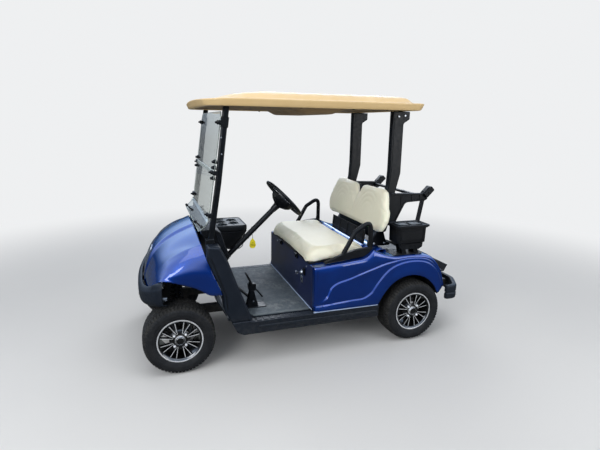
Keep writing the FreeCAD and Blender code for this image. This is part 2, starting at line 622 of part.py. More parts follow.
# Dash: a shallow shelf across the cart and a middle pod with cup wells over a bin open to the rear
DASH_SHELF = [(790, 918), (700, 920, 20), (664, 895, 20), (616, 740, 20), (640, TOE_TOP[1]), TOE_TOP,
              (742, 840),
              (786, 890)]
POD_TOP = 866.0
POD_Y = 150.0
DASH_POD = [(720, 905), (664, POD_TOP + 16, 20), (640, POD_TOP, 20), (460, POD_TOP, 12),
            (430, POD_TOP - 10, 12),
            (424, POD_TOP - 44), (440, 700, 20), (480, 676, 30), (660, 716), (720, 800)]
BIN = [(380, 716), (380, 776), (430, 788, 8), (600, 804, 20), (600, 722, 20), (430, 712, 8)]
shelf = side_prism(DASH_SHELF, -FOOT_Y + 2, FOOT_Y - 2)
pod = side_prism(DASH_POD, -POD_Y, POD_Y)
bin_cut = side_prism(BIN, -POD_Y + 14, POD_Y - 14)
CUPS = [  # x, y, radius, depth
    (600, -98, 36, 54), (600, 0, 36, 54), (600, 98, 36, 54), (508, -52, 33, 50), (508, 52, 33, 50),
]
cups = [Part.makeCylinder(radius, depth + 60, V(x, y, POD_TOP - depth)) for x, y, radius, depth in CUPS]
column_well = cylinder(32, wheel_centre + column_dir * 400, wheel_centre + column_dir * 900)
dash = joined([shelf, pod]).cut([bin_cut, column_well] + cups)
export("dash", dash)

# Windscreen: an upper and a lower clear sheet in one slanted plane; the lower end is bent forward


def sheet(line, radius_low, radius_top):
    """Sheet of the screen's thickness in front of the (x, z) line, its corners rounded in front view."""
    side = [(x, z) for x, z in line] + [(x + SCREEN_T, z + 1) for x, z in reversed(line)]
    slab = side_prism(side, -SCREEN_Y, SCREEN_Y)
    low, top = line[-1][1] - 5, line[0][1] + 5
    face = front_prism([(-SCREEN_Y, low, radius_low), (SCREEN_Y, low, radius_low),
                        (SCREEN_Y, top, radius_top),
                        (-SCREEN_Y, top, radius_top)], 500, 900)
    return slab.common(face)


def screen_x(z):
    return SCREEN_BEND[0] + (SCREEN_BEND[1] - z) * SCREEN_LEAN


upper_line = [(screen_x(z), z) for z in (SCREEN_TOP_Z, SCREEN_HINGE_Z + SCREEN_SPLIT)]
lower_line = [(screen_x(SCREEN_HINGE_Z - SCREEN_SPLIT), SCREEN_HINGE_Z - SCREEN_SPLIT), SCREEN_BEND,
              SCREEN_FOOT]
export("windscreen_upper", sheet(upper_line, 3, 60))
export("windscreen_lower", sheet(lower_line, 40, 3))

# Front struts: bent box tubes from the sill through the foot panel to the roof
export("front_struts", pair(strut))
CLIPS = [  # z, how far the clip reaches inboard
    (SCREEN_TOP_Z - 65, 34), (SCREEN_HINGE_Z, 60), (SCREEN_BEND[1] + 45, 34),
]
clips = []
for z, reach in CLIPS:
    face = screen_x(z) + SCREEN_T + 3
    knob = cylinder(13, V(face, STRUT_Y - reach, z), V(face + 16, STRUT_Y - reach, z))
    plate = box(face, face + 4, STRUT_Y - reach - 12, STRUT_Y + 22, z - 14, z + 14)
    heel = box(face - 20, face + 1, SCREEN_Y + 2, STRUT_Y + 22, z - 14, z + 14).cut(strut)
    clips.append(joined([knob, plate, heel]))
export("windscreen_clips", Part.makeCompound([c for clip in clips for c in both(clip)]))

# Roof: a flared rim, a raised domed crown, and the lower liner with its centre hump
def roof_wire(rear, front, side, corner, z):
    """Roof plan drawn in from its rear, front and sides; the front corners are the rounder ones."""
    x0, x1, half = ROOF_REAR + rear, ROOF_FRONT - front, ROOF_Y - side
    tight = corner * 0.45
    return plan_wire([(x0, -half, tight), (x1, -half, corner), (x1, half, corner), (x0, half, tight)], z)


def lofted(rows):
    return Part.makeLoft([roof_wire(*row) for row in rows], True, True)


RIM = [  # rear, front and side inset, corner radius, z
    (17, 14, 13, 114, RIM_LOW), (0, 0, 0, 130, RIM_TOP), (8, 8, 8, 124, RIM_TOP + 5),
]
CROWN = [
    (56, 108, 54, 104, RIM_TOP + 3), (66, 136, 60, 100, RIM_TOP + 12), (96, 206, 82, 90, RIM_TOP + 38),
    (124, 260, 114, 80, ROOF_TOP - 26), (190, 340, 190, 70, ROOF_TOP - 14), (300, 450, 320, 60, ROOF_TOP - 4),
    (420, 560, 440, 50, ROOF_TOP),
]


def inside(rows):
    """The same form one roof wall further in and lower."""
    return [(rear + BODY_WALL, front + BODY_WALL, side + BODY_WALL, corner - 2, z - BODY_WALL)
            for rear, front, side, corner, z in rows]


flange_hollow = [(32, 29, 26, 102, RIM_LOW - 1), (14, 14, 14, 122, RIM_TOP - BODY_WALL)]
roof = joined([lofted(RIM), lofted(CROWN)]).cut([lofted(flange_hollow), lofted(inside(CROWN))])
export("roof", roof)
liner = Part.Face(roof_wire(34, 31, 28, 100, RIM_LOW)).extrude(V(0, 0, LINER_T))
hump = Part.makeLoft([plan_wire(rounded_plan(-220, 180, 440, 60), RIM_LOW + 0.5),
                      plan_wire(rounded_plan(-144, 101, 330, 50), RIM_LOW - 31)], True, True)
hump_hollow = Part.makeLoft([plan_wire(rounded_plan(-216, 176, 436, 56), RIM_LOW + LINER_T + 1),
                             plan_wire(rounded_plan(-140, 97, 326, 46), RIM_LOW - 27)], True, True)
export("roof_liner", joined([liner, hump]).cut(hump_hollow))

# Rear body: one hollow moulding of the seat box sides and both rear fenders
def box_top(x):
    return BOX_TOP + (BOX_FRONT - x) * BOX_SLOPE


BODY_SIDE = [
    (BOX_FRONT, 322, 0), (BOX_FRONT, box_top(BOX_FRONT), 8), (-336, box_top(-336)), (-384, 726, 20),
    (-450, BODY_TOP_REAR, 20),
    (-545, BODY_TOP_REAR),
    (-552, DECK_Z), (-850, DECK_Z, 60), (-905, 604, 60), (-1004, 403, 20), (-1010, 322, 0),
]
body = side_prism(BODY_SIDE, -BODY_Y, BODY_Y)
RECESS_X = -404.0
RECESS_Y = 538.0


def recess(grow):
    return side_prism([(-300, box_top(-300) - grow), (RECESS_X - grow, box_top(RECESS_X - grow) - grow),
                       (RECESS_X - grow, 800), (-300, 800)], -RECESS_Y - grow, RECESS_Y + grow)


inner_side = side_wire(BODY_SIDE, -BODY_Y + BODY_WALL).makeOffset2D(-BODY_WALL)
core = Part.Face(inner_side).extrude(V(0, 2 * (BODY_Y - BODY_WALL), 0)).cut(recess(BODY_WALL))
bottom = box(-1100, 100, -BODY_Y + BODY_WALL, BODY_Y - BODY_WALL, 300, 330)
front_open = box(BOX_FRONT - 10, BOX_FRONT + 10, -BODY_Y + 30, BODY_Y - 30, 322, 700)
seat_open = box(-320, BOX_FRONT - 24, -440, 440, 600, 800)
deck_open = box(-1100, -556, -400, 400, 300, 800)
seat_front = box(BOX_FRONT - 26, BOX_FRONT + 5, -BODY_Y + 30, BODY_Y - 30, 600, 800)
arches = [cylinder(ARCH_R, V(ARCH_X, s * 380, ARCH_Z), V(ARCH_X, s * 640, ARCH_Z)) for s in (1, -1)]
flare = cylinder(ARCH_R + 34, V(ARCH_X, BODY_Y - 1, ARCH_Z), V(ARCH_X, BODY_Y + 14, ARCH_Z))
flare = flare.common(box(-1300, 200, 300, 700, 322, 900))
body = body.cut([recess(0), core, bottom, front_open, seat_open, deck_open, seat_front])
wells = []
for s in (1, -1):
    y0, y1 = sorted((s * 378, s * (BODY_Y - 2)))
    lining = cylinder(ARCH_R + BODY_WALL, V(ARCH_X, y0, ARCH_Z), V(ARCH_X, y1, ARCH_Z))
    lining = lining.common(box(-1000, -400, y0, y1, 322, 700))
    wells.append(lining.cut(cylinder(ARCH_R, V(ARCH_X, y0 - 9, ARCH_Z), V(ARCH_X, y1 + 9, ARCH_Z))))
body = joined([body, flare, mirrored(flare)] + wells).cut(arches)
export("rear_body", body)

deck_plate = plan_prism([(-822, 404, 10), (-562, 404, 10), (-562, 546, 20), (-822, 546, 40)], DECK_Z,
                        DECK_Z + PLATE_T)
export("deck_plates", pair(deck_plate))

# Seat box front panel with the switch plates
kick = side_prism([(BOX_FRONT, mat_top - MAT), (BOX_FRONT, box_top(BOX_FRONT)),
                   (BOX_FRONT - 24, box_top(BOX_FRONT) + 1),
                   (BOX_FRONT - 24, box_top(BOX_FRONT) - 3),
                   (BOX_FRONT - BODY_WALL, box_top(BOX_FRONT) - BODY_WALL),
                   (BOX_FRONT - BODY_WALL, mat_top - MAT)], -BODY_Y + 30.3, BODY_Y - 30.3)
export("seat_box_front", kick)
SWITCHES = [  # centre y, centre z, width, height, depth
    (372, 552, 36, 60, 10), (300, 522, 26, 26, 12), (312, 470, 46, 52, 3),
]
switches = [box(BOX_FRONT, BOX_FRONT + d, y - w / 2, y + w / 2, z - h / 2, z + h / 2)
            for y, z, w, h, d in SWITCHES]
export("switch_plates", Part.makeCompound(switches))

# Pedals on one floor bracket
pedal_base = box(*PEDAL_BASE, rail_top + PAN, mat_top + 5)
bracket = box(400, 440, 334, 346, mat_top, mat_top + 120)
brake_arm = tube([V(420, 352, mat_top + 90), V(450, 352, mat_top + 150), V(468, 352, mat_top + 210)], 8, 30)
brake_pad = box(-6, 6, -38, 38, -42, 42)
brake_pad.rotate(V(0, 0, 0), V(0, 1, 0), -20)
brake_pad.translate(V(462, 352, mat_top + 205))
throttle_arm = tube([V(420, 328, mat_top + 40), V(450, 320, mat_top + 55), V(486, 300, mat_top + 70)], 8, 20)
throttle_pad = box(-6, 6, -28, 28, -60, 60)
throttle_pad.rotate(V(0, 0, 0), V(0, 1, 0), -38)
throttle_pad.translate(V(490, 290, mat_top + 76))
export("pedals", joined([pedal_base, bracket, brake_arm, brake_pad, throttle_arm, throttle_pad]))

# Steering column, wheel and the hanging tag
column_start = wheel_centre + column_dir * 62
column = cylinder(COLUMN_R, column_start, column_end)
column_bore = cylinder(SHAFT_R, column_start - column_dir, column_start + column_dir * 90)
toe_lean = (TOE_TOP[0] - TOE_LOW[0]) / (TOE_TOP[1] - TOE_LOW[1])


def toe_x(z):
    return TOE_LOW[0] - PAN + (z - TOE_LOW[1]) * toe_lean


flange = side_prism([(toe_x(545), 545), (toe_x(640), 640), (666, 646), (646, 600)], COLUMN_Y - 36,
                    COLUMN_Y + 36)
lower_shaft = cylinder(10, column_end, PINION_TOP)
export("steering_column", joined([column, flange, lower_shaft]).cut([column_bore, pinion]))
ring = Part.makeTorus(STEERING_R, STEERING_TUBE, V(0, 0, 0), V(0, 0, 1))
hub = Part.makeCone(34, 52, 56, V(0, 0, -60))
shaft = Part.makeCylinder(SHAFT_R - RUNNING, 80, V(0, 0, -138))
spokes = []
for angle in (25, 155, 270):
    spoke = plan_prism([(20, -20), (STEERING_R, -14), (STEERING_R, 14), (20, 20)], -14, -4)
    spoke.rotate(V(0, 0, 0), V(0, 0, 1), angle)
    spokes.append(spoke)
pad = Part.makeCylinder(50, 18, V(0, 0, -20))
steering = joined([ring, hub, shaft, pad] + spokes)
steering.rotate(V(0, 0, 0), V(0, 0, 1), 90)
steering.rotate(V(0, 0, 0), V(0, 1, 0), -(90 - math.degrees(COLUMN_TILT)))
steering.translate(wheel_centre)
export("steering_wheel", steering)
TIE_WALL = 4.0
TIE_W = 8.0
tie_at = wheel_centre + column_dir * 342
column_up = V(math.sin(COLUMN_TILT), 0, math.cos(COLUMN_TILT))
low_point = tie_at - column_up * (COLUMN_R + SEAT_GAP + TIE_WALL / 2)
tie = cylinder(COLUMN_R + SEAT_GAP + TIE_WALL, tie_at - column_dir * (TIE_W / 2),
               tie_at + column_dir * (TIE_W / 2))
tie = tie.cut(cylinder(COLUMN_R + SEAT_GAP, tie_at - column_dir * TIE_W, tie_at + column_dir * TIE_W))
TAG_HALF = 27.0
TAG_LOW, TAG_TOP = 716.0, 794.0
tag_x = low_point.x
tag = side_prism([(tag_x - TAG_HALF, TAG_LOW, 22), (tag_x + TAG_HALF, TAG_LOW, 22),
                  (tag_x + 0.7 * TAG_HALF, TAG_TOP - 28, 12), (tag_x, TAG_TOP, 5),
                  (tag_x - 0.7 * TAG_HALF, TAG_TOP - 28, 12)], COLUMN_Y - 1.5, COLUMN_Y + 1.5)
link = cylinder(1.0, V(tag_x, COLUMN_Y, TAG_TOP - 10), low_point)
export("key_tag", joined([tag, link, tie]))

# Rear struts: flat beams, upright above and bent forward behind the seat, on feet over the body
BEHIND_BACK = BACK_THICK + CARRIER_T + 2 * SEAT_GAP


def behind_back(z, offset):
    """X of the plane that lies offset behind the leaning front face of the seat back."""
    return BACK_LOW.x - (z - BACK_LOW.z) * math.tan(BACK_TILT) - offset / math.cos(BACK_TILT)


REAR_STRUT = [
    (-602, strut_top), (-602, 1262, 80), (behind_back(1150, BEHIND_BACK), 1150, 40),
    (behind_back(800, BEHIND_BACK), 800, 20), (-480, 745, 20), (-464, 722, 6), (-464, BODY_TOP_REAR),
    (-545, BODY_TOP_REAR), (-640, BODY_TOP_REAR), (-640, 712, 10), (-604, 726, 20), (-580, 800, 60),
    (-640, 1020, 60),
    (-694, 1240, 80), (-694, RIM_LOW - 86, 20), (-742, RIM_LOW - 56, 10), (-742, strut_top),
]
strut_low, strut_high = REAR_STRUT_Y - REAR_STRUT_W / 2, REAR_STRUT_Y + REAR_STRUT_W / 2
export("rear_struts", pair(side_prism(REAR_STRUT, strut_low, strut_high)))
cross_panel = side_prism([(behind_back(z, BEHIND_BACK + d), z)
                          for z, d in ((745, 0), (930, 0), (930, 6), (745, 6))],
                         -strut_low, strut_low)
export("seat_cross_panel", cross_panel)

# Bag rack: an arm and web on each strut, strap blocks at the ends and legs down to the deck
ARM_SIDE = [(-606, 1096), (-890, 1086, 20), (-934, 1046, 10), (-905, 1030, 10), (-735, 1022, 30),
            (-655, 866, 10),
            (-588, 874), (-580, 1000)]
RACK_Y0 = strut_high
rack_arm = side_prism(ARM_SIDE, RACK_Y0, RACK_Y0 + 30)
block = box(-42, 42, -15, 45, -22, 22)
block.rotate(V(0, 0, 0), V(0, 1, 0), 45)
block.translate(V(-928, RACK_Y0, 1098))
leg_y = RACK_Y0 + 15
leg = tube([V(-866, leg_y, 1044), V(-842, leg_y, 890), V(-838, leg_y, 780), V(-806, leg_y + 52, 702),
            V(-806, leg_y + 52, DECK_Z + PLATE_T)], 13, 30)
export("bag_rack", pair(joined([rack_arm, block, leg])))
rack_tie = cylinder(12, V(-880, -RACK_Y0, 1062), V(-880, RACK_Y0, 1062))
export("rack_tie_bar", rack_tie)

# Bag deck: a tray between the fenders with two wells open to the rear
DECK_SIDE = [(-556, DECK_Z + 1), (-720, DECK_Z + 1, 20), (-860, 480, 20), (-1120, 450, 10), (-1150, 500),
             (-1154, 500), (-1124, 446, 10), (-862, 476, 20), (-722, DECK_Z - 3, 20), (-556, DECK_Z - 3)]
deck = side_prism(DECK_SIDE, -396, 396)
walls = [side_prism([(-720, DECK_Z), (-850, 658, 30), (-900, 604, 30), (-1000, 500), (-1120, 452),
                     (-860, 480)],
                    min(s * 392, s * 396), max(s * 392, s * 396)) for s in (1, -1)]
divider = side_prism([(-720, DECK_Z), (-900, 600, 40), (-1120, 452), (-860, 480)], -4, 4)
export("bag_deck", joined([deck, divider] + walls))

# Rear bumper
REAR_PLAN = [(-1016, -592, 10), (-1110, -592, 70), (TAIL_X, -430, 90), (TAIL_X, 430, 90), (-1110, 592, 70),
             (-1016, 592, 10),
             (-1016, 560), (-1090, 556, 60), (TAIL_X + 34, 420, 70), (TAIL_X + 34, -420, 70),
             (-1090, -556, 60), (-1016, -560)]
export("rear_bumper", plan_prism(REAR_PLAN, 292, 402))
stays = [box(TAIL_X + 34, FRAME_REAR, s * 190 - 20, s * 190 + 20, 335, 385) for s in (1, -1)]
export("rear_bumper_stays", Part.makeCompound(stays))

# Sand box with its hinged lid and bracket over the driver's side rear fender
def sand_plan(grow, corner):
    x0, x1, y0, y1 = SAND_X0 - grow, SAND_X1 + grow, SAND_Y0 - grow, SAND_Y1 + grow
    return [(x0, y0, corner), (x1, y0, corner), (x1, y1, corner), (x0, y1, corner)]


def sand_loft(inset, low, top):
    return Part.makeLoft([plan_wire(sand_plan(-12 - inset, 12), low), plan_wire(sand_plan(-inset, 12), top)],
                         True, True)


sand_y = (SAND_Y0 + SAND_Y1) / 2
LID_PIN = V(SAND_X0 - 18, sand_y, SAND_TOP + SEAT_GAP)
LID_T = 13.7


def across(radius, centre, half):
    return cylinder(radius, centre - V(0, half, 0), centre + V(0, half, 0))


def hinge_lugs(radius, pin_radius, centre, foot):
    """Two lugs with the pin through them; foot(y0, y1) joins a lug to what carries it."""
    lugs = [across(pin_radius - RUNNING, centre, 22)]
    for s in (1, -1):
        lugs.append(across(radius, centre + V(0, s * 19, 0), 3))
        lugs.append(foot(centre.y + s * 19 - 3, centre.y + s * 19 + 3))
    return lugs


tub = sand_loft(0, SAND_LOW, SAND_TOP).cut(sand_loft(SAND_WALL, SAND_LOW + SAND_WALL, SAND_TOP + 1))
mouth = plan_prism(sand_plan(-SAND_WALL, 12), SAND_TOP - 10, SAND_TOP + 10)
lip = plan_prism(sand_plan(10, 14), SAND_TOP - 5, SAND_TOP).cut(mouth)
lid_lugs = hinge_lugs(2 * LID_PIN_R, LID_PIN_R, LID_PIN,
                      lambda y0, y1: box(LID_PIN.x, SAND_X0 - 2, y0, y1, SAND_TOP - 5.7, SAND_TOP))
export("sand_box", joined([tub, lip] + lid_lugs))
lid = plan_prism(sand_plan(16, 16), LID_PIN.z, LID_PIN.z + LID_T)
lid = lid.cut([plan_prism(sand_plan(4, 10), LID_PIN.z + LID_T - 3, LID_PIN.z + LID_T + 1),
               box(SAND_X0 - 30, SAND_X0 - 4, sand_y - 27, sand_y + 27, LID_PIN.z - 1, LID_PIN.z + 20)])
lid_knuckle = [across(2 * LID_PIN_R, LID_PIN, 15),
               box(LID_PIN.x, SAND_X0 - 3, sand_y - 15, sand_y + 15, LID_PIN.z, LID_PIN.z + 6)]
export("sand_box_lid", joined([lid] + lid_knuckle).cut(across(LID_PIN_R, LID_PIN, 30)))
foot = box(SAND_X0 + 20, SAND_X1 - 20, SAND_Y0 + 10, SAND_Y1 - 10, SAND_LOW - 6, SAND_LOW)
leg_side = [(SAND_X0 + 40, DECK_Z + PLATE_T), (SAND_X0 + 80, DECK_Z + PLATE_T), (SAND_X0 + 100, SAND_LOW - 3),
            (SAND_X0 + 70, SAND_LOW - 3)]
legs = [side_prism(leg_side, SAND_Y0 + 30, SAND_Y1 - 30).translated(V(dx, 0, 0)) for dx in (0, 100)]
export("sand_box_bracket", joined([foot] + legs))

# Seat bottom: board, cushion and the hip restraint loops, tipping forward together
def seat_line(x, rise):
    return box_top(x) + rise


def board_side(front, rear, thick):
    return [(front, seat_line(front, 1)), (rear, seat_line(rear, 1)), (rear, seat_line(rear, 1 + thick)),
            (front, seat_line(front, 1 + thick))]


SEAT_PIN = V(SEAT_HINGE_X, SEAT_HINGE_Y, BOX_TOP)
board = side_prism(board_side(SEAT_HINGE_X - 6, -332, BOARD), -SEAT_Y + 20, SEAT_Y - 20)
notch = box(SEAT_HINGE_X - 24, SEAT_HINGE_X, SEAT_HINGE_Y - 27, SEAT_HINGE_Y + 27, BOX_TOP - 20, BOX_TOP + 40)
knuckle_arm = side_prism(board_side(SEAT_HINGE_X, SEAT_HINGE_X - 26, BOARD - 4), SEAT_HINGE_Y - 15,
                         SEAT_HINGE_Y + 15)
seat_knuckle = joined([knuckle_arm, across(2 * SEAT_PIN_R, SEAT_PIN, 15)])
seat_bore = across(SEAT_PIN_R, SEAT_PIN, 30)
board = joined([board.cut(both(notch))] + both(seat_knuckle)).cut(both(seat_bore))
export("seat_board", board)
hinge_plate = box(BOX_FRONT, BOX_FRONT + 3, SEAT_HINGE_Y - 26, SEAT_HINGE_Y + 26, BOX_TOP - 30, BOX_TOP - 11)
seat_lugs = hinge_lugs(2 * SEAT_PIN_R, SEAT_PIN_R, SEAT_PIN,
                       lambda y0, y1: box(BOX_FRONT, SEAT_HINGE_X, y0, y1, BOX_TOP - 30, BOX_TOP))
export("seat_hinges", pair(joined([hinge_plate] + seat_lugs)))
cushion_side = [(SEAT_FRONT, seat_line(SEAT_FRONT, 16), 20),
                (SEAT_REAR, seat_line(SEAT_REAR, 1.3 + BOARD), 10),
                (SEAT_REAR, SEAT_TOP, 24), (SEAT_FRONT - 14, SEAT_TOP - 6, 40)]
cushion = side_prism(cushion_side, -SEAT_Y, SEAT_Y)
cushion = cushion.common(plan_prism([(SEAT_REAR, -SEAT_Y, 50), (SEAT_FRONT, -SEAT_Y, 90),
                                     (SEAT_FRONT, SEAT_Y, 90),
                                     (SEAT_REAR, SEAT_Y, 50)], 500, 900))
export("seat_cushion", cushion)
HIP_Y = SEAT_Y + 22
hip_base = side_prism([(-30, seat_line(-30, 14)), (-150, seat_line(-150, 42), 20),
                       (-330, seat_line(-330, 34), 20),
                       (-398, 716, 10), (-398, 690, 6), (-330, seat_line(-330, 6)), (-30, seat_line(-30, 4))],
                      HIP_Y - 14, HIP_Y + 14)
hip_loop = tube([V(-386, HIP_Y, 700), V(-386, HIP_Y, 946), V(-262, HIP_Y, 866), V(-150, HIP_Y, 680)], 14, 40)
hip_flange = side_prism([(-60, seat_line(-60, 1)), (-300, seat_line(-300, 1)),
                         (-300, seat_line(-300, 1 + BOARD)),
                         (-60, seat_line(-60, 1 + BOARD))], SEAT_Y - 20, HIP_Y)
export("hip_restraints", pair(joined([hip_base, hip_flange, hip_loop])))

# Seat back: butterfly cushion on a thin carrier, leaned back
back_half = [(0, 1072, 20), (64, 1146, 30), (330, 1150, 60), (428, 1128, 60), (462, 1040, 60), (500, 900, 60),
             (492, 822, 44), (420, 806, 40), (192, 812), (0, 812)]


def back_shape(inset, near, far):
    right = [(a, b, r[0] if r else 0) for a, b, *r in back_half]
    left = [(-a, b, r) for a, b, r in right[1:-1]]
    wire = outline(right[:-1] + left[::-1], lambda a, b: V(0, a, (b - BACK_LOW.z) / math.cos(BACK_TILT)))
    if inset:
        wire = wire.makeOffset2D(-inset)
    slab = Part.Face(wire).extrude(V(far - near, 0, 0)).translated(V(near, 0, 0))
    slab.rotate(V(0, 0, 0), V(0, 1, 0), -math.degrees(BACK_TILT))
    return slab.translated(BACK_LOW)


export("seat_back", back_shape(0, -BACK_THICK, 0))
carrier = back_shape(24, -BACK_THICK - SEAT_GAP - CARRIER_T, -BACK_THICK - SEAT_GAP)
export("seat_back_carrier", carrier)
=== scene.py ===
import json
from math import copysign, cos, pi, radians, sin, tan

import bmesh
import bpy
import numpy as np
from mathutils import Matrix, Vector


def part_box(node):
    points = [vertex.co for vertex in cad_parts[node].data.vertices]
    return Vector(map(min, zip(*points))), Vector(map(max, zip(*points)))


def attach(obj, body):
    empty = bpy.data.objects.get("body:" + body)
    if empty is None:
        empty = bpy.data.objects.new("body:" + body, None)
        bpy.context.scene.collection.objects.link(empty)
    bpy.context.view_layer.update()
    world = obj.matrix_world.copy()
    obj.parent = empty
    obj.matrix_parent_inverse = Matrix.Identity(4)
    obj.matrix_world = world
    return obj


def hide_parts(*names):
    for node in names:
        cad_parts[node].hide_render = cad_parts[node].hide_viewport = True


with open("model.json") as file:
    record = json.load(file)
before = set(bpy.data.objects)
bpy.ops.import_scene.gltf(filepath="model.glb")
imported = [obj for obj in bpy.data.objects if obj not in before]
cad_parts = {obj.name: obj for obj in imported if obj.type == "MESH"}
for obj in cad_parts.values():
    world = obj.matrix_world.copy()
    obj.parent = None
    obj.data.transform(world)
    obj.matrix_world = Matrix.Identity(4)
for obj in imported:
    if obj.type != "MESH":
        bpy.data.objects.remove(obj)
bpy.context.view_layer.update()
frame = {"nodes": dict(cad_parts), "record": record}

# Every length below is in millimetres in the part's frame; MM turns it into metres.
MM = 0.001
scene = bpy.context.scene

# Camera at the photograph's place
CAMERA = Vector((1092.6, 3238.5, 1590.8)) * MM
YAW, PITCH, ROLL = -0.3336, -0.2249, 0.0149
FOCAL_PX, PHOTO_WIDTH, SENSOR = 443.92, 600, 36
forward = Vector((sin(YAW) * cos(PITCH), -cos(YAW) * cos(PITCH), sin(PITCH)))
level = forward.cross(Vector((0, 0, 1))).normalized()
above = level.cross(forward)
right = level * cos(ROLL) + above * sin(ROLL)
up = above * cos(ROLL) - level * sin(ROLL)
camera = bpy.data.objects.new("camera", bpy.data.cameras.new("camera"))
scene.collection.objects.link(camera)
scene.camera = camera
camera.data.sensor_width = SENSOR
camera.data.lens = FOCAL_PX / PHOTO_WIDTH * SENSOR
camera.data.clip_end = 60
camera.matrix_world = Matrix.Translation(CAMERA) @ Matrix((right, up, -forward)).transposed().to_4x4()


# Light: a large soft overhead panel, a key from the camera's left, a low fill and a rim panel
def panel(name, place, aim, width, height, power):
    light = bpy.data.lights.new(name, "AREA")
    light.shape = "RECTANGLE"
    light.size = width
    light.size_y = height
    light.energy = power
    holder = bpy.data.objects.new(name, light)
    scene.collection.objects.link(holder)
    holder.location = place
    holder.rotation_euler = (Vector(aim) - Vector(place)).to_track_quat("-Z", "Y").to_euler()


panel("overhead", (0.2, 0.6, 4.2), (0, 0, 0.6), 5, 4, 92)
panel("key", (3.4, 3.2, 2.6), (0.2, 0.2, 0.6), 2.2, 2, 105)
panel("fill", (-2.6, 3.6, 1.4), (-0.2, 0.2, 0.5), 2.4, 1.6, 45)
panel("rim", (-1.5, -3.6, 2.6), (0, 0, 0.7), 3, 1.4, 60)


class Nodes:
    """Short calls for building a node tree."""

    def __init__(self, tree):
        self.tree = tree

    def add(self, kind, **values):
        node = self.tree.nodes.new(kind)
        for key, value in values.items():
            setattr(node, key, value)
        return node

    def wire(self, start, end):
        self.tree.links.new(start, end)

    def calc(self, operation, first, second):
        node = self.add("ShaderNodeMath", operation=operation)
        for value, socket in zip((first, second), node.inputs):
            if isinstance(value, (int, float)):
                socket.default_value = value
            else:
                self.wire(value, socket)
        return node.outputs[0]

    def plain(self, kind, colour):
        """Emission or background shader of one colour."""
        node = self.add(kind)
        node.inputs["Color"].default_value = (*colour, 1)
        return node.outputs[0]

    def blend(self, share, first, second):
        node = self.add("ShaderNodeMixShader")
        for value, socket in zip((share, first, second), node.inputs):
            self.wire(value, socket)
        return node.outputs[0]


# World: a pale backdrop for the camera, a dim sky for the light, a banded one in reflections
BACKDROP = (0.86, 0.87, 0.88)
scene.view_settings.view_transform = "Standard"
world = bpy.data.worlds.new("studio")
scene.world = world
world.use_nodes = True
air = Nodes(world.node_tree)
rays = air.add("ShaderNodeLightPath").outputs
split = air.add("ShaderNodeSeparateXYZ")
air.wire(air.add("ShaderNodeTexCoord").outputs["Generated"], split.inputs[0])
sky = air.add("ShaderNodeValToRGB")
bands = sky.color_ramp.elements
bands[0].position, bands[0].color = 0, (0.03, 0.04, 0.06, 1)
bands[1].position, bands[1].color = 0.4, (1.5, 1.8, 2.3, 1)
bands.new(0.12).color = (0.22, 0.30, 0.42, 1)
air.wire(split.outputs["Z"], sky.inputs[0])
dim = world.node_tree.nodes["Background"]
dim.inputs["Color"].default_value = (0.75, 0.8, 0.88, 1)
dim.inputs["Strength"].default_value = 0.42
mirrored_sky = air.add("ShaderNodeBackground")
air.wire(sky.outputs["Color"], mirrored_sky.inputs["Color"])
direct = air.calc("MAXIMUM", rays["Is Camera Ray"], rays["Is Transmission Ray"])
glossy = air.blend(rays["Is Glossy Ray"], dim.outputs[0], mirrored_sky.outputs[0])
air.wire(air.blend(direct, glossy, air.plain("ShaderNodeBackground", BACKDROP)),
         world.node_tree.nodes["World Output"].inputs[0])

FLOOR = 16
floor_mesh = bpy.data.meshes.new("ground")
floor_mesh.from_pydata([(-FLOOR, -FLOOR, 0), (FLOOR, -FLOOR, 0), (FLOOR, FLOOR, 0), (-FLOOR, FLOOR, 0)], [],
                       [(0, 1, 2, 3)])
ground = bpy.data.objects.new("ground", floor_mesh)
scene.collection.objects.link(ground)


def srgb(colour):
    """Linear colour from 0-255 display values."""
    shares = [value / 255 for value in colour]
    return (*(s / 12.92 if s <= 0.04045 else ((s + 0.055) / 1.055) ** 2.4 for s in shares), 1)


GRIT = 0.55  # usual roughness of a noise


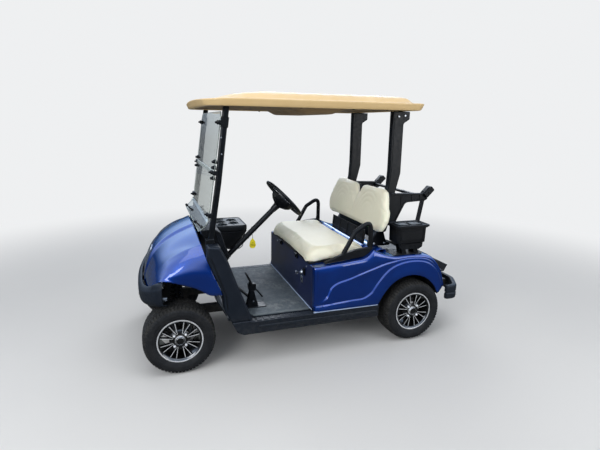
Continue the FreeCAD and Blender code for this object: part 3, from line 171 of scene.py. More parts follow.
class Look(Nodes):
    """A procedural material: colour layers, roughness variation and bump on one Principled shader."""

    def __init__(self, name, colour, rough, metal=0, sockets=None):
        self.material = bpy.data.materials.new(name)
        self.material.use_nodes = True
        super().__init__(self.material.node_tree)
        self.shader = self.tree.nodes["Principled BSDF"]
        self.where = self.add("ShaderNodeTexCoord").outputs["Object"]
        self.colour = None
        self.normal = None
        values = {"Base Color": srgb(colour), "Roughness": rough, "Metallic": metal, **(sockets or {})}
        for socket, value in values.items():
            self.shader.inputs[socket].default_value = value

    def noise(self, scale, detail=3, rough=GRIT, stretch=None):
        node = self.add("ShaderNodeTexNoise")
        where = self.where
        if stretch is not None:
            mapping = self.add("ShaderNodeMapping")
            mapping.inputs["Scale"].default_value = stretch
            self.wire(where, mapping.inputs["Vector"])
            where = mapping.outputs[0]
        self.wire(where, node.inputs["Vector"])
        for socket, value in (("Scale", scale), ("Detail", detail), ("Roughness", rough)):
            node.inputs[socket].default_value = value
        return node.outputs["Fac"]

    def cells(self, scale):
        node = self.add("ShaderNodeTexVoronoi")
        self.wire(self.where, node.inputs["Vector"])
        node.inputs["Scale"].default_value = scale
        return node.outputs["Distance"]

    def span(self, value, low, high, to_low=0, to_high=1):
        node = self.add("ShaderNodeMapRange", interpolation_type="SMOOTHSTEP")
        self.wire(value, node.inputs["Value"])
        for socket, number in zip(("From Min", "From Max", "To Min", "To Max"), (low, high, to_low, to_high)):
            node.inputs[socket].default_value = number
        return node.outputs["Result"]

    def layer(self, share, colour):
        """Lays a colour over what is there, by the share output."""
        node = self.add("ShaderNodeMix", data_type="RGBA")
        first, second = node.inputs[6], node.inputs[7]
        self.wire(share, node.inputs[0])
        if self.colour is None:
            first.default_value = self.shader.inputs["Base Color"].default_value
        else:
            self.wire(self.colour, first)
        second.default_value = srgb(colour)
        self.colour = node.outputs[2]
        self.wire(self.colour, self.shader.inputs["Base Color"])

    def roughen(self, value, low, high):
        self.wire(self.span(value, 0.25, 0.75, low, high), self.shader.inputs["Roughness"])

    def bump(self, value, distance, strength):
        node = self.add("ShaderNodeBump")
        node.inputs["Strength"].default_value = strength
        node.inputs["Distance"].default_value = distance * MM
        self.wire(value, node.inputs["Height"])
        if self.normal is not None:
            self.wire(self.normal, node.inputs["Normal"])
        self.normal = node.outputs["Normal"]
        self.wire(self.normal, self.shader.inputs["Normal"])

    def dust(self, top, bottom, colour, most):
        """Road dust that thickens from top down to bottom, broken up by noise."""
        split = self.add("ShaderNodeSeparateXYZ")
        self.wire(self.where, split.inputs[0])
        low = self.span(split.outputs["Z"], bottom * MM, top * MM, most, 0)
        self.layer(self.calc("MULTIPLY", low, self.span(self.noise(38, 5, 0.7), 0.3, 0.72)), colour)

    def patches(self, rows):
        """Colour layers: (noise scale, detail, roughness, from, to, most share, colour)."""
        for scale, detail, rough, low, high, most, colour in rows:
            self.layer(self.span(self.noise(scale, detail, rough), low, high, 0, most), colour)

    def grain(self, rows):
        """Bumps: (scale, detail, depth, strength); cells where detail is None."""
        for scale, detail, depth, strength in rows:
            self.bump(self.cells(scale) if detail is None else self.noise(scale, detail), depth, strength)


def made(name, colour, rough, layers, bumps, roughen=None, dust=None, metal=0, sockets=None):
    """Material from rows; roughen is (noise scale, detail, low, high)."""
    look = Look(name, colour, rough, metal, sockets)
    look.patches(layers)
    if dust:
        look.dust(*dust)
    if roughen:
        look.roughen(look.noise(*roughen[:2]), *roughen[2:])
    look.grain(bumps)
    return look.material


def dull(level):
    return {"Specular IOR Level": level}


def coat(weight, rough):
    return {"Coat Weight": weight, "Coat Roughness": rough}


def blue_paint():
    look = Look("blue_paint", (0, 50, 118), 0.36, 0.6, {
        **coat(1, 0.035), "Coat Tint": (0.25, 0.72, 1, 1), "Coat IOR": 1.6, **dull(0.2)})
    look.patches([(5, 2, GRIT, 0.3, 0.75, 0.35, (2, 64, 140))])
    flakes = look.span(look.cells(1400), 0, 0.35, 1, 0)
    look.layer(look.calc("MULTIPLY", flakes, 0.12), (24, 112, 196))
    look.dust(400, 300, (70, 76, 90), 0.25)
    look.grain([(1100, None, 0.05, 0.25)])
    return look.material


def moulded(name, colour, lighter, rough, grain=900, depth=0.10, dusty=0):
    """Grained moulded plastic with slightly paler patches."""
    return made(name, colour, rough,
                [(9, 4, GRIT, 0.4, 0.8, 0.45, lighter), (420, 2, GRIT, 0.55, 0.8, 0.2, lighter)],
                [(grain, None, depth, 0.5), (grain * 0.7, 2, depth * 0.7, 0.4)],
                (60, 3, rough - 0.07, rough + 0.10), (420, 210, (84, 84, 82), dusty) if dusty else None,
                sockets=dull(0.2))


def gel_roof(name, colour, lighter, rough):
    stain = (150, 130, 96)
    return made(name, colour, rough,
                [(3.5, 4, GRIT, 0.35, 0.75, 0.6, lighter), (30, 6, 0.75, 0.6, 0.85, 0.22, stain)],
                [(340, 2, 0.10, 0.4), (6, 2, 1.2, 0.12)], (18, 3, rough - 0.06, rough + 0.10))


def floor_rubber():
    look = Look("floor_rubber", (84, 93, 99), 0.62, sockets=dull(0.3))
    look.patches([(12, 6, 0.7, 0.4, 0.75, 0.7, (104, 114, 120))])
    worn = look.calc("MULTIPLY", look.span(look.noise(16, 8, 0.8, (1, 0.7, 1)), 0.46, 0.66),
                     look.span(look.noise(3.2, 2), 0.42, 0.62))
    look.layer(look.calc("MULTIPLY", worn, 0.7), (142, 146, 146))
    look.patches([(90, 6, 0.8, 0.6, 0.8, 0.25, (156, 158, 156))])
    look.roughen(look.noise(40, 4), 0.5, 0.78)
    look.grain([(300, None, 0.25, 0.5), (160, 4, 0.2, 0.4)])
    return look.material


def clear_sheet():
    look = Look("clear_acrylic", (236, 242, 240), 0.02, sockets={"Transmission Weight": 1, "IOR": 1.49})
    look.patches([(8, 6, 0.8, 0.55, 0.8, 0.12, (215, 222, 218))])
    look.roughen(look.noise(22, 6, 0.8), 0, 0.03)
    look.grain([(3, 2, 0.3, 0.1)])
    return look.material


def bright_metal(name, colour, rough, brushed=(1, 1, 1), metal=1):
    look = Look(name, colour, rough, metal)
    look.patches([(30, 4, GRIT, 0.4, 0.75, 0.4, tuple(int(c * 0.78) for c in colour))])
    look.roughen(look.noise(240, 3, 0.6, brushed), rough - 0.05, rough + 0.12)
    look.bump(look.noise(480, 2, 0.5, brushed), 0.04, 0.3)
    return look.material


def studio_floor():
    """Pale ground that keeps the cart's shadow near it and runs into the plain backdrop further out."""
    look = Look("studio_floor", (214, 214, 213), 0.9, sockets=dull(0.1))
    look.patches([(1.2, 3, GRIT, 0.3, 0.8, 0.25, (220, 220, 218))])
    look.grain([(60, 3, 0.3, 0.2)])
    rays = look.add("ShaderNodeLightPath").outputs
    distance = look.add("ShaderNodeVectorMath", operation="LENGTH")
    look.wire(look.where, distance.inputs[0])
    far = look.span(distance.outputs["Value"], 2.2, 5.5)
    direct = look.calc("MAXIMUM", rays["Is Camera Ray"], rays["Is Transmission Ray"])
    fade = look.blend(look.calc("MULTIPLY", far, direct), look.shader.outputs[0],
                      look.plain("ShaderNodeEmission", BACKDROP))
    mirrored = look.calc("SUBTRACT", rays["Is Glossy Ray"], rays["Is Transmission Ray"])
    dark = look.plain("ShaderNodeEmission", (0.11, 0.12, 0.12))
    look.wire(look.blend(look.calc("MAXIMUM", mirrored, 0), fade, dark),
              look.tree.nodes["Material Output"].inputs[0])
    return look.material


LOOKS = {
    "blue_paint": blue_paint(),
    "roof_tan": gel_roof("roof_tan", (206, 176, 124), (216, 188, 138), 0.42),
    "roof_brown": gel_roof("roof_brown", (120, 96, 62), (138, 112, 76), 0.55),
    "vinyl": made(
        "cream_vinyl", (238, 235, 212), 0.46,
        [(7, 4, GRIT, 0.35, 0.8, 0.5, (246, 243, 222)),
         (26, 5, 0.7, 0.6, 0.88, 0.22, (214, 208, 184))],
        [(620, None, 0.16, 0.5), (48, 4, 0.5, 0.3)], (55, 3, 0.38, 0.56),
        sockets={"Sheen Weight": 0.08, "Sheen Roughness": 0.5,
                 "Subsurface Weight": 0.04, "Subsurface Scale": 0.004}),
    "black_plastic": moulded("black_plastic", (10, 12, 15), (20, 23, 27), 0.42),
    "slate_plastic": moulded("slate_plastic", (19, 25, 34), (29, 36, 44), 0.44, dusty=0.22),
    "floor_rubber": floor_rubber(),
    "clear": clear_sheet(),
    "black_steel": made(
        "black_steel", (8, 11, 15), 0.36, [(12, 4, GRIT, 0.4, 0.8, 0.5, (17, 21, 27))],
        [(520, 1, 0.12, 0.45)], (45, 3, 0.28, 0.46), (420, 240, (84, 82, 78), 0.2), sockets=dull(0.2)),
    "frame_steel": made(
        "frame_steel", (26, 27, 29), 0.55,
        [(14, 6, 0.7, 0.4, 0.7, 0.7, (62, 58, 54)), (34, 8, 0.75, 0.62, 0.8, 0.4, (80, 60, 46))],
        [(120, 5, 0.25, 0.5)], (40, 4, 0.42, 0.8), (380, 150, (92, 86, 78), 0.4), 0.2),
    "alloy": bright_metal("machined_alloy", (225, 227, 230), 0.3, metal=0.45),
    "tyre_rubber": made(
        "tyre_rubber", (20, 21, 23), 0.72,
        [(20, 6, 0.75, 0.42, 0.7, 0.6, (42, 42, 42)), (75, 8, 0.8, 0.58, 0.82, 0.35, (92, 89, 84))],
        [(380, 4, 0.3, 0.5)], (80, 3, 0.6, 0.9), sockets=dull(0.25)),
    "silver_plate": bright_metal("silver_plate", (196, 198, 202), 0.28, (1, 12, 1)),
    "yellow": made("yellow_tag", (222, 208, 20), 0.4, [(90, 4, GRIT, 0.45, 0.8, 0.5, (196, 178, 24))],
                   [(500, 2, 0.06, 0.4)]),
    "battery": made("battery_case", (34, 36, 40), 0.5, [(18, 5, GRIT, 0.4, 0.75, 0.6, (74, 74, 74))],
                    [(500, None, 0.12, 0.5)], (50, 3, 0.42, 0.66)),
    "bright_steel": bright_metal("bright_steel", (170, 172, 176), 0.3),
}
GLOSS_BLACK = made("gloss_black", (9, 10, 12), 0.22, [(26, 5, GRIT, 0.5, 0.8, 0.5, (44, 42, 40))],
                   [(300, 2, 0.06, 0.3)], sockets=coat(0.7, 0.08))
# Darker copy of the blue body paint for the seat box front: painted shade of the face under the seat
SHADED_BLUE = made("shaded_blue_gloss", (12, 23, 64), 0.34, [(6, 3, GRIT, 0.35, 0.75, 0.5, (20, 34, 84))],
                 [(200, 2, 0.05, 0.3)], sockets={**coat(0.3, 0.05), **dull(0.15)})
DECK = moulded("deck_plate", (22, 24, 27), (44, 46, 48), 0.5, 500, 0.2)
TREAD = made(
    "tread_rubber", (30, 30, 30), 0.82,
    [(28, 6, 0.8, 0.38, 0.66, 0.6, (58, 57, 54)), (150, 6, 0.8, 0.58, 0.8, 0.45, (106, 103, 96))],
    [(420, 5, 0.4, 0.6)], (80, 3, 0.7, 0.95), sockets=dull(0.2))
TRAY = moulded("cup_tray", (64, 70, 76), (84, 90, 96), 0.4)
PALE_TRAY = moulded("pale_tray", (84, 90, 95), (112, 118, 121), 0.55)
# Darkest black: the own colour of pads, switches and collars, and painted shade in the dash bin
BLACK_AND_SHADE = moulded("darkest_black_and_shade", (6, 7, 9), (12, 13, 16), 0.55)
# Pale blue for thin strips at the box foot and along the body sides: painted highlight lines
HIGHLIGHT_STRIP = moulded("painted_highlight_strip", (150, 168, 198), (176, 190, 214), 0.3)
# Lighter rubber for the mat border: painted highlight along the mat's raised edge
MAT_HIGHLIGHT = moulded("mat_painted_highlight", (104, 112, 116), (126, 132, 134), 0.55)
TAG_DARK = moulded("tag_print", (112, 98, 20), (128, 112, 26), 0.5)
# Pale silver-blue strip for the bend of the lower windscreen sheet: painted highlight
BEND_HIGHLIGHT = moulded("bend_painted_highlight", (182, 198, 210), (206, 218, 226), 0.2, 300, 0.04)
# Pale, half clear copy of the acrylic: painted highlight on the sheet edges and on the hinge strip
EDGE_HIGHLIGHT = made("painted_edge_highlight", (206, 216, 214), 0.35, [(60, 3, GRIT, 0.4, 0.7, 0.5, (232, 238, 236))],
                  [(400, 2, 0.08, 0.5)], sockets={"Transmission Weight": 0.35, "IOR": 1.49})
ground.data.materials.append(studio_floor())

for part in frame["record"]["subparts"]:
    mesh = frame["nodes"][part["node"]].data
    mesh.materials.clear()
    mesh.materials.append(LOOKS[part["material_slot"]])


# Shape helpers. A shape is (points, faces); points are in millimetres.
def ramp(value, start, width):
    """0 up to start, rising to 1 over the width."""
    return np.clip((value - start) / width, 0, 1)


def bell(value, width):
    return np.exp(-(value / width) ** 2)


def around(count):
    """Angles of count even steps round a circle."""
    return [2 * pi * k / count for k in range(count)]


def SIDE(a, b, w):
    return (a, w, b)


def FRONT(a, b, w):
    return (w, a, b)


def PLAN(a, b, w):
    return (a, b, w)


def rounded(corners, steps=5):
    """Closed outline whose corners (a, b, r) become tangent arcs of radius r."""
    line = []
    for i, corner in enumerate(corners):
        here = Vector(corner[:2])
        radius = corner[2] if len(corner) > 2 else 0
        if radius <= 0:
            line.append(here)
            continue
        back = (Vector(corners[i - 1][:2]) - here).normalized()
        ahead = (Vector(corners[(i + 1) % len(corners)][:2]) - here).normalized()
        half = back.angle(ahead) / 2
        bisector = (back + ahead).normalized()
        centre = here + bisector * (radius / sin(half))
        start = here + back * (radius / tan(half)) - centre
        end = here + ahead * (radius / tan(half)) - centre
        turn = start.angle_signed(end)
        for k in range(steps + 1):
            angle = -turn * k / steps
            c, s = cos(angle), sin(angle)
            line.append(centre + Vector((start.x * c - start.y * s, start.x * s + start.y * c)))
    return line


def prism(corners, place, low, high, steps=5):
    line = rounded(corners, steps)
    count = len(line)
    points = [place(p.x, p.y, w) for w in (low, high) for p in line]
    faces = [tuple(range(count)), tuple(range(count, 2 * count))]
    faces += [(i, (i + 1) % count, count + (i + 1) % count, count + i) for i in range(count)]
    return points, faces


def tile(a0, a1, b0, b1, radius, place, low, high):
    """Rectangle with one corner radius, drawn out from low to high."""
    return prism([(a0, b0, radius), (a1, b0, radius), (a1, b1, radius), (a0, b1, radius)], place, low, high)


def slab(x0, x1, y0, y1, z0, z1):
    return tile(x0, x1, y0, y1, 0, PLAN, z0, z1)


def moved(shape, matrix):
    return [tuple(matrix @ Vector(p)) for p in shape[0]], shape[1]


def turned(shape, degrees, axis, about=(0, 0, 0)):
    pivot = Matrix.Translation(about)
    return moved(shape, pivot @ Matrix.Rotation(radians(degrees), 4, axis) @ pivot.inverted())


def shifted(shape, x, y, z):
    return moved(shape, Matrix.Translation((x, y, z)))


def placed(shape, spot, degrees, axis):
    """Shape turned about the origin, then carried to a spot."""
    return moved(shape, Matrix.Translation(spot) @ Matrix.Rotation(radians(degrees), 4, axis))


def flipped(shape):
    return [(x, -y, z) for x, y, z in shape[0]], [f[::-1] for f in shape[1]]


def joined(shapes):
    points, faces = [], []
    for shape in shapes:
        base = len(points)
        points += list(shape[0])
        faces += [tuple(base + i for i in f) for f in shape[1]]
    return points, faces


def grid(rows, closed=False, caps=False):
    """Quads between rows of equal length; closed joins each row's end to its start."""
    rows = np.asarray(rows, float)
    count, width = rows.shape[:2]
    points = [tuple(p) for p in rows.reshape(-1, 3)]
    last = width if closed else width - 1
    faces = [(i * width + j, i * width + (j + 1) % width, (i + 1) * width + (j + 1) % width,
        (i + 1) * width + j) for i in range(count - 1) for j in range(last)]
    if caps:
        faces += [tuple(range(width)), tuple(range((count - 1) * width, count * width))]
    return points, faces


def through(points, steps, breaks=()):
    """Smooth line through points, steps to a span, with corners at the breaks."""
    points = np.asarray(points, float)
    ends = sorted({0, len(points) - 1, *breaks})
    line = []
    for start, stop in zip(ends, ends[1:]):
        part = points[start:stop + 1]
        span = np.maximum(np.linalg.norm(np.diff(part, axis=0).reshape(len(part) - 1, -1), axis=1), 1e-6)
        slope = np.diff(part, axis=0) / span.reshape(-1, *([1] * (part.ndim - 1)))
        tangent = np.empty_like(part)
        tangent[0], tangent[-1] = slope[0], slope[-1]
        for i in range(1, len(part) - 1):
            tangent[i] = (slope[i - 1] * span[i] + slope[i] * span[i - 1]) / (span[i] + span[i - 1])
        for i in range(len(part) - 1):
            for k in range(steps):
                t = k / steps
                line.append((2 * t**3 - 3 * t**2 + 1) * part[i] + (t**3 - 2 * t**2 + t) * span[i] * tangent[i]
                            + (3 * t**2 - 2 * t**3) * part[i + 1] + (t**3 - t**2) * span[i] * tangent[i + 1])
    line.append(points[-1])
    return np.array(line)


def weave(rows, across, along, across_breaks=(), along_breaks=()):
    """Fine grid of points through coarse rows of points."""
    fine = np.array([through(row, across, across_breaks) for row in rows])
    return through(fine, along, along_breaks)


def lathe(profile, steps):
    """Profile of (radius, offset) turned about the Y axis."""
    return grid([[(radius * cos(a), offset, radius * sin(a)) for a in around(steps)]
                 for radius, offset in profile], closed=True)


def rod(start, end, radius, steps=20, end_radius=None, bevel=0):
    """Round bar between two points, tapered if end_radius is given, with its edges turned."""
    start, end = Vector(start), Vector(end)
    far = radius if end_radius is None else end_radius
    length = (end - start).length
    turn = (end - start).to_track_quat("Y", "Z").to_matrix().to_4x4()
    matrix = Matrix.Translation(start) @ turn
    cut = min(bevel, radius * 0.6)
    profile = [(0.01, 0), (radius - cut, 0), (radius, cut), (far, length - cut), (far - cut, length),
        (0.01, length)]
    return moved(lathe(profile, steps), matrix)


def pipe(points, radius, bend=0, section=14, flat=1):
    """Bar swept along points whose corners are rounded by bend; flat squeezes its section."""
    line = []
    points = [Vector(p) for p in points]
    for i, here in enumerate(points):
        if i in (0, len(points) - 1) or bend <= 0:
            line.append(here)
            continue
        back, ahead = (points[i - 1] - here), (points[i + 1] - here)
        half = back.angle(ahead) / 2
        cut = min(bend / tan(half), back.length * 0.49, ahead.length * 0.49)
        a, b = here + back.normalized() * cut, here + ahead.normalized() * cut
        for k in range(9):
            t = k / 8
            line.append(a * (1 - t) ** 2 + here * 2 * t * (1 - t) + b * t * t)
    rings = []
    side = None
    for i, here in enumerate(line):
        ahead = (line[min(i + 1, len(line) - 1)] - line[max(i - 1, 0)]).normalized()
        if side is None:
            side = ahead.orthogonal().normalized()
            if abs(ahead.y) < 0.9:
                side = (Vector((0, 1, 0)) - ahead * ahead.y).normalized()
        side = (side - ahead * side.dot(ahead)).normalized()
        other = ahead.cross(side)
        rings.append([tuple(here + side * radius * flat * cos(a) + other * radius * sin(a))
                      for a in around(section)])
    return grid(rings, closed=True, caps=True)


def build(name, shape, slot, body="chassis", looks=None, smooth=32, bevel=0, thick=0, segments=3, marks=None):
    """Piece from a shape or a list of shapes, riding on a body; marks gives each face's material."""
    points, faces = joined(shape) if isinstance(shape, list) else shape
    mesh = bpy.data.meshes.new(name)
    mesh.from_pydata([Vector(p) * MM for p in points], [], faces)
    work = bmesh.new()
    work.from_mesh(mesh)
    bmesh.ops.recalc_face_normals(work, faces=work.faces)
    work.to_mesh(mesh)
    work.free()
    for look in looks or [LOOKS[slot]]:
        mesh.materials.append(look)
    if marks is not None:
        mesh.polygons.foreach_set("material_index", marks)
    mesh.shade_smooth()
    mesh.set_sharp_from_angle(angle=radians(smooth))
    piece = bpy.data.objects.new(name, mesh)
    scene.collection.objects.link(piece)
    if thick:
        solid = piece.modifiers.new("thickness", "SOLIDIFY")
        solid.thickness = thick * MM
        solid.offset = -1
    if bevel:
        edge = piece.modifiers.new("edges", "BEVEL")
        edge.width = bevel * MM
        edge.segments = segments
        edge.limit_method = "ANGLE"
        edge.angle_limit = radians(34)
    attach(piece, body)
    return piece


def sides(name, shape, *slot, **options):
    """The same piece on both sides of the cart."""
    shape = joined(shape) if isinstance(shape, list) else shape
    return [build(name + "_left", shape, *slot, **options),
            build(name + "_right", flipped(shape), *slot, **options)]


# Front cowl: character lines from the centre out to the side, one row for each step from nose to screen
COWL = [
    [(1152, 0, 491), (1151, 118, 493), (1146, 136, 496), (1140, 250, 510), (1124, 350, 538), (1104, 430, 572),
     (1080, 490, 604), (1058, 533, 628), (1042, 554, 639)],
    [(1144, 0, 575), (1143, 119, 574), (1136, 138, 571), (1124, 250, 580), (1104, 345, 602), (1082, 422, 628),
     (1056, 488, 648), (1028, 538, 652), (1006, 558, 633)],
    [(1121, 0, 652), (1119, 120, 650), (1111, 139, 643), (1094, 250, 648), (1074, 350, 660), (1050, 430, 678),
     (1024, 500, 684), (996, 546, 672), (972, 561, 624)],
    [(1086, 0, 724), (1083, 120, 721), (1075, 141, 711), (1058, 255, 712), (1036, 362, 715), (1012, 440, 724),
     (984, 512, 716), (956, 552, 684), (928, 563, 610)],
    [(1034, 0, 783), (1030, 121, 779), (1022, 143, 769), (1004, 262, 766), (982, 372, 758), (960, 450, 762),
     (932, 519, 744), (904, 556, 696), (880, 564, 593)],
    [(950, 0, 840), (946, 122, 836), (938, 145, 825), (921, 272, 816), (901, 386, 800), (882, 460, 800),
     (858, 524, 768), (835, 559, 698), (815, 565, 562)],
    [(882, 0, 872), (878, 123, 868), (870, 147, 857), (855, 282, 848), (838, 400, 826), (820, 468, 818),
     (802, 529, 774), (777, 561, 682), (752, 565, 520)],
    [(812, 0, 898), (810, 124, 894), (806, 149, 884), (800, 292, 868), (796, 412, 842), (792, 472, 828),
     (780, 531, 778), (735, 562, 654), (680, 564, 518)],
]


def whole(row):
    return [(x, -y, z) for x, y, z in row[:0:-1]] + list(row)


cowl_points = weave([whole(row) for row in COWL], 6, 7, across_breaks=(3, 6, 7, 9, 10, 13))
cowl = build("cowl_skin", grid(cowl_points), "blue_paint", thick=4, smooth=40)
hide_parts("front_cowl")
# Rolled edge along the arch and the rear edge of the cowl
for side, column in (("left", -1), ("right", 0)):
    edge_line = [tuple(p) for p in cowl_points[::4, column]]
    build("cowl_hem_" + side, pipe([Vector(p) + Vector((0, -3 if column else 3, 1)) for p in edge_line], 3.6),
          "blue_paint", smooth=60)

# Nose shield: a plain domed plate on the front of the raised spine
shield_rows = []
for k, (z, half) in enumerate(((640, 20), (652, 31), (680, 38), (706, 42), (722, 36), (732, 10))):
    x = float(np.interp(z, [575, 655, 731, 791], [1144, 1122, 1089, 1038]))
    shield_rows.append([(x + 3.2 - 1.5 * abs(s) ** 2, half * s, z) for s in (-1, -0.6, -0.2, 0.2, 0.6, 1)])
shield = build("nose_shield", grid(weave(shield_rows, 4, 5)), "silver_plate", thick=3, smooth=50)
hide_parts("nose_plate")

# Rear body: rows run from the arch edge up over the side, the shoulder and the top
REAR = [
    (584, [(60, 322), (0, 322), (-50, 322), (-110, 322), (-230, 322), (-350, 322), (-436, 322), (-472, 384),
           (-570, 484), (-698, 518), (-826, 484), (-905, 412), (-938, 352)]),
    (585, [(60, 332), (0, 333), (-50, 334), (-110, 335), (-230, 337), (-345, 340), (-424, 346), (-462, 398),
           (-562, 500), (-698, 536), (-834, 500), (-914, 424), (-950, 360)]),
    (581, [(60, 350), (0, 354), (-50, 357), (-110, 362), (-230, 370), (-334, 378), (-388, 410), (-436, 480),
           (-530, 575), (-698, 618), (-850, 588), (-934, 506), (-975, 390)]),
    (574, [(60, 357), (0, 361), (-50, 365), (-107, 370), (-228, 378), (-329, 387), (-380, 418), (-429, 488),
           (-524, 583), (-698, 627), (-856, 595), (-941, 511), (-983, 393)]),
    (573, [(60, 366), (5, 372), (-36, 401), (-77, 478), (-228, 534), (-350, 573), (-415, 592), (-473, 609),
           (-556, 626), (-698, 640), (-864, 608), (-948, 518), (-990, 396)]),
    (566, [(60, 378), (9, 386), (-29, 409), (-71, 487), (-225, 542), (-348, 581), (-413, 600), (-472, 618),
           (-558, 634), (-698, 647), (-868, 613), (-953, 522), (-995, 398)]),
    (567, [(60, 500), (0, 505), (-50, 510), (-110, 560), (-228, 595), (-344, 620), (-404, 640), (-471, 644),
           (-558, 644), (-698, 652), (-872, 618), (-957, 526), (-999, 400)]),
    (565, [(60, 620), (0, 624), (-50, 628), (-110, 633), (-230, 643), (-340, 656), (-400, 686), (-470, 672),
           (-558, 655), (-702, 657), (-876, 624), (-960, 530), (-1002, 401)]),
    (558, [(60, 631), (0, 636), (-50, 640), (-110, 645), (-230, 655), (-338, 670), (-398, 710), (-470, 686),
           (-556, 664), (-706, 662), (-880, 630), (-963, 533), (-1004, 402)]),
    (544, [(60, 634), (0, 639), (-50, 643), (-110, 648), (-230, 659), (-337, 676), (-397, 722), (-470, 690),
           (-554, 667), (-712, 665), (-884, 635), (-966, 536), (-1006, 403)]),
    (498, [(60, 634), (0, 639), (-50, 643), (-110, 648), (-230, 659), (-337, 677), (-396, 724), (-470, 690),
           (-554, 667), (-720, 666), (-886, 637), (-967, 537), (-1006, 403)]),
    (445, [(60, 634), (0, 639), (-50, 643), (-110, 648), (-230, 659), (-337, 677), (-396, 724), (-470, 690),
           (-554, 667), (-722, 666), (-886, 637), (-967, 537), (-1006, 403)]),
    (396, [(34, 630), (0, 633), (-50, 640), (-110, 645), (-230, 656), (-337, 677), (-396, 724), (-470, 690),
           (-554, 667), (-722, 666), (-886, 637), (-967, 537), (-1006, 403)]),
]
# The front corner of the side turns in towards the footwell by this much in y at each station
FADE = [0, 0.35, 1, 1, 1, 1, 1, 1, 1, 1, 1, 1, 1]
rear_rows = []
for y, line in REAR:
    base = 566 if y in (573, 574) else y
    rear_rows.append([(x, base + (y - base) * share, z) for (x, z), share in zip(line, FADE)])
rear_points = weave(rear_rows, 6, 3, along_breaks=(1, 2, 3, 4, 5, 7, 9), across_breaks=(6,))
# The upright corner beside the footwell is rounded
TURN = 34
past = np.clip(rear_points[..., 0] - (60 - TURN), 0, TURN)
share = ramp(rear_points[..., 1], 470, 60)
rear_points[..., 1] -= share * (TURN - np.sqrt(TURN ** 2 - past ** 2)) * 0.9
rear_parts = sides("rear_side", grid(rear_points), "blue_paint", thick=4, smooth=26)
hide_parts("rear_body")

SHELF_LINE = [(-330, 672), (-345, 682), (-384, 720), (-396, 724), (-420, 712), (-450, 694), (-470, 690),
    (-545, 688), (-553, 680), (-556, 664)]
shelf_rows = [[(x, y, z) for x, z in SHELF_LINE] for y in (-448, -300, -150, 0, 150, 300, 448)]
build("rear_shelf", grid(weave(shelf_rows, 3, 2)), "blue_paint", thick=4, smooth=30)

# Wheel wells
ARCH_X, ARCH_Z, ARCH_R = -698, 262, 259
arch = [radians(10 + 5.4 * k) for k in range(29)]
for side, out in (("left", 1), ("right", -1)):
    liner_part, wall = (grid([[(ARCH_X + r * cos(a), out * y, ARCH_Z + r * sin(a)) for a in arch]
                              for r, y in places])
                        for places in ([(ARCH_R, y) for y in (396, 420, 480, 540, 578)],
                                       [(r, 396) for r in (ARCH_R, 200, 130)]))
    build("wheel_well_" + side, [liner_part, wall], "black_plastic", thick=3, smooth=40)

# Wheels: one tyre mesh and one rim mesh, shared by the four corners
TYRE_STEPS = 540
LUGS = 60


def tread_cut(angle, offset):
    """Depth of the tread pattern at an angle (turns of one lug) and an offset from the middle."""
    side = abs(offset)
    pitch = (angle * LUGS) % 1
    swing = 0.16 * sin(offset / 30 * pi)
    centre = (pitch + swing) % 1
    if 28 < side < 33.5 or 63 < side < 67:
        return 6
    if side <= 28:
        wave = 4 * sin(2 * pi * angle * LUGS)
        if abs(offset - wave) < 2.6:
            return 5
        return 3.5 if centre < 0.16 and side > 8 else 0
    if side <= 63:
        return 5 if centre < 0.2 or (0.5 < centre < 0.6 and side < 50) else 0
    return 6 if (pitch + 0.25) % 1 < 0.3 and side < 99 else 0


def tyre_profile():
    """(radius, offset, tread share) from the inner bead to the outer bead."""
    half = [(129.5, 86.5, 0), (146, 88.5, 0), (152, 93, 0), (158, 97.5, 0), (164, 99.5, 0), (166, 98.6, 0),
        (169, 101, 0), (180, 102.3, 0), (190, 102, 0), (198, 100.6, 0), (206, 98.6, 0.2), (213, 95.2, 0.75),
        (219, 90.5, 1), (223.5, 84, 1), (226.2, 76, 1), (227.6, 67.5, 1), (227.7, 66.5, 1), (227.9, 63.5, 1),
        (228, 62.5, 1), (228.7, 52, 1), (229.2, 43, 1), (229.5, 34, 1), (229.55, 33, 1), (229.6, 28.5, 1),
        (229.65, 27.5, 1), (229.8, 18, 1), (229.9, 9, 1), (230, 3.2, 1)]
    return [(r, -w, s) for r, w, s in half] + [(r, w, s) for r, w, s in half[::-1]]


rings = []
for radius, offset, share in tyre_profile():
    ring = []
    for k in range(TYRE_STEPS):
        turn = k / TYRE_STEPS
        depth = radius - share * tread_cut(turn, offset)
        angle = 2 * pi * turn
        ring.append((depth * cos(angle), offset, depth * sin(angle)))
    rings.append(ring)
tyre_shape = grid(rings, closed=True)
tyre_marks = [1 if 11 <= i // TYRE_STEPS < len(rings) - 12 else 0
    for i in range((len(rings) - 1) * TYRE_STEPS)]
# Raised rings on the sidewall
side_rings = [lathe([(r + d, s * w) for d, w in ((-1.2, 101), (-0.6, 102.6), (0.6, 102.7), (1.2, 101.2))],
    120) for r in (176, 196) for s in (1, -1)]
tyre_marks += [0] * sum(len(ring[1]) for ring in side_rings)

BRIGHT, DARK = 0, 1


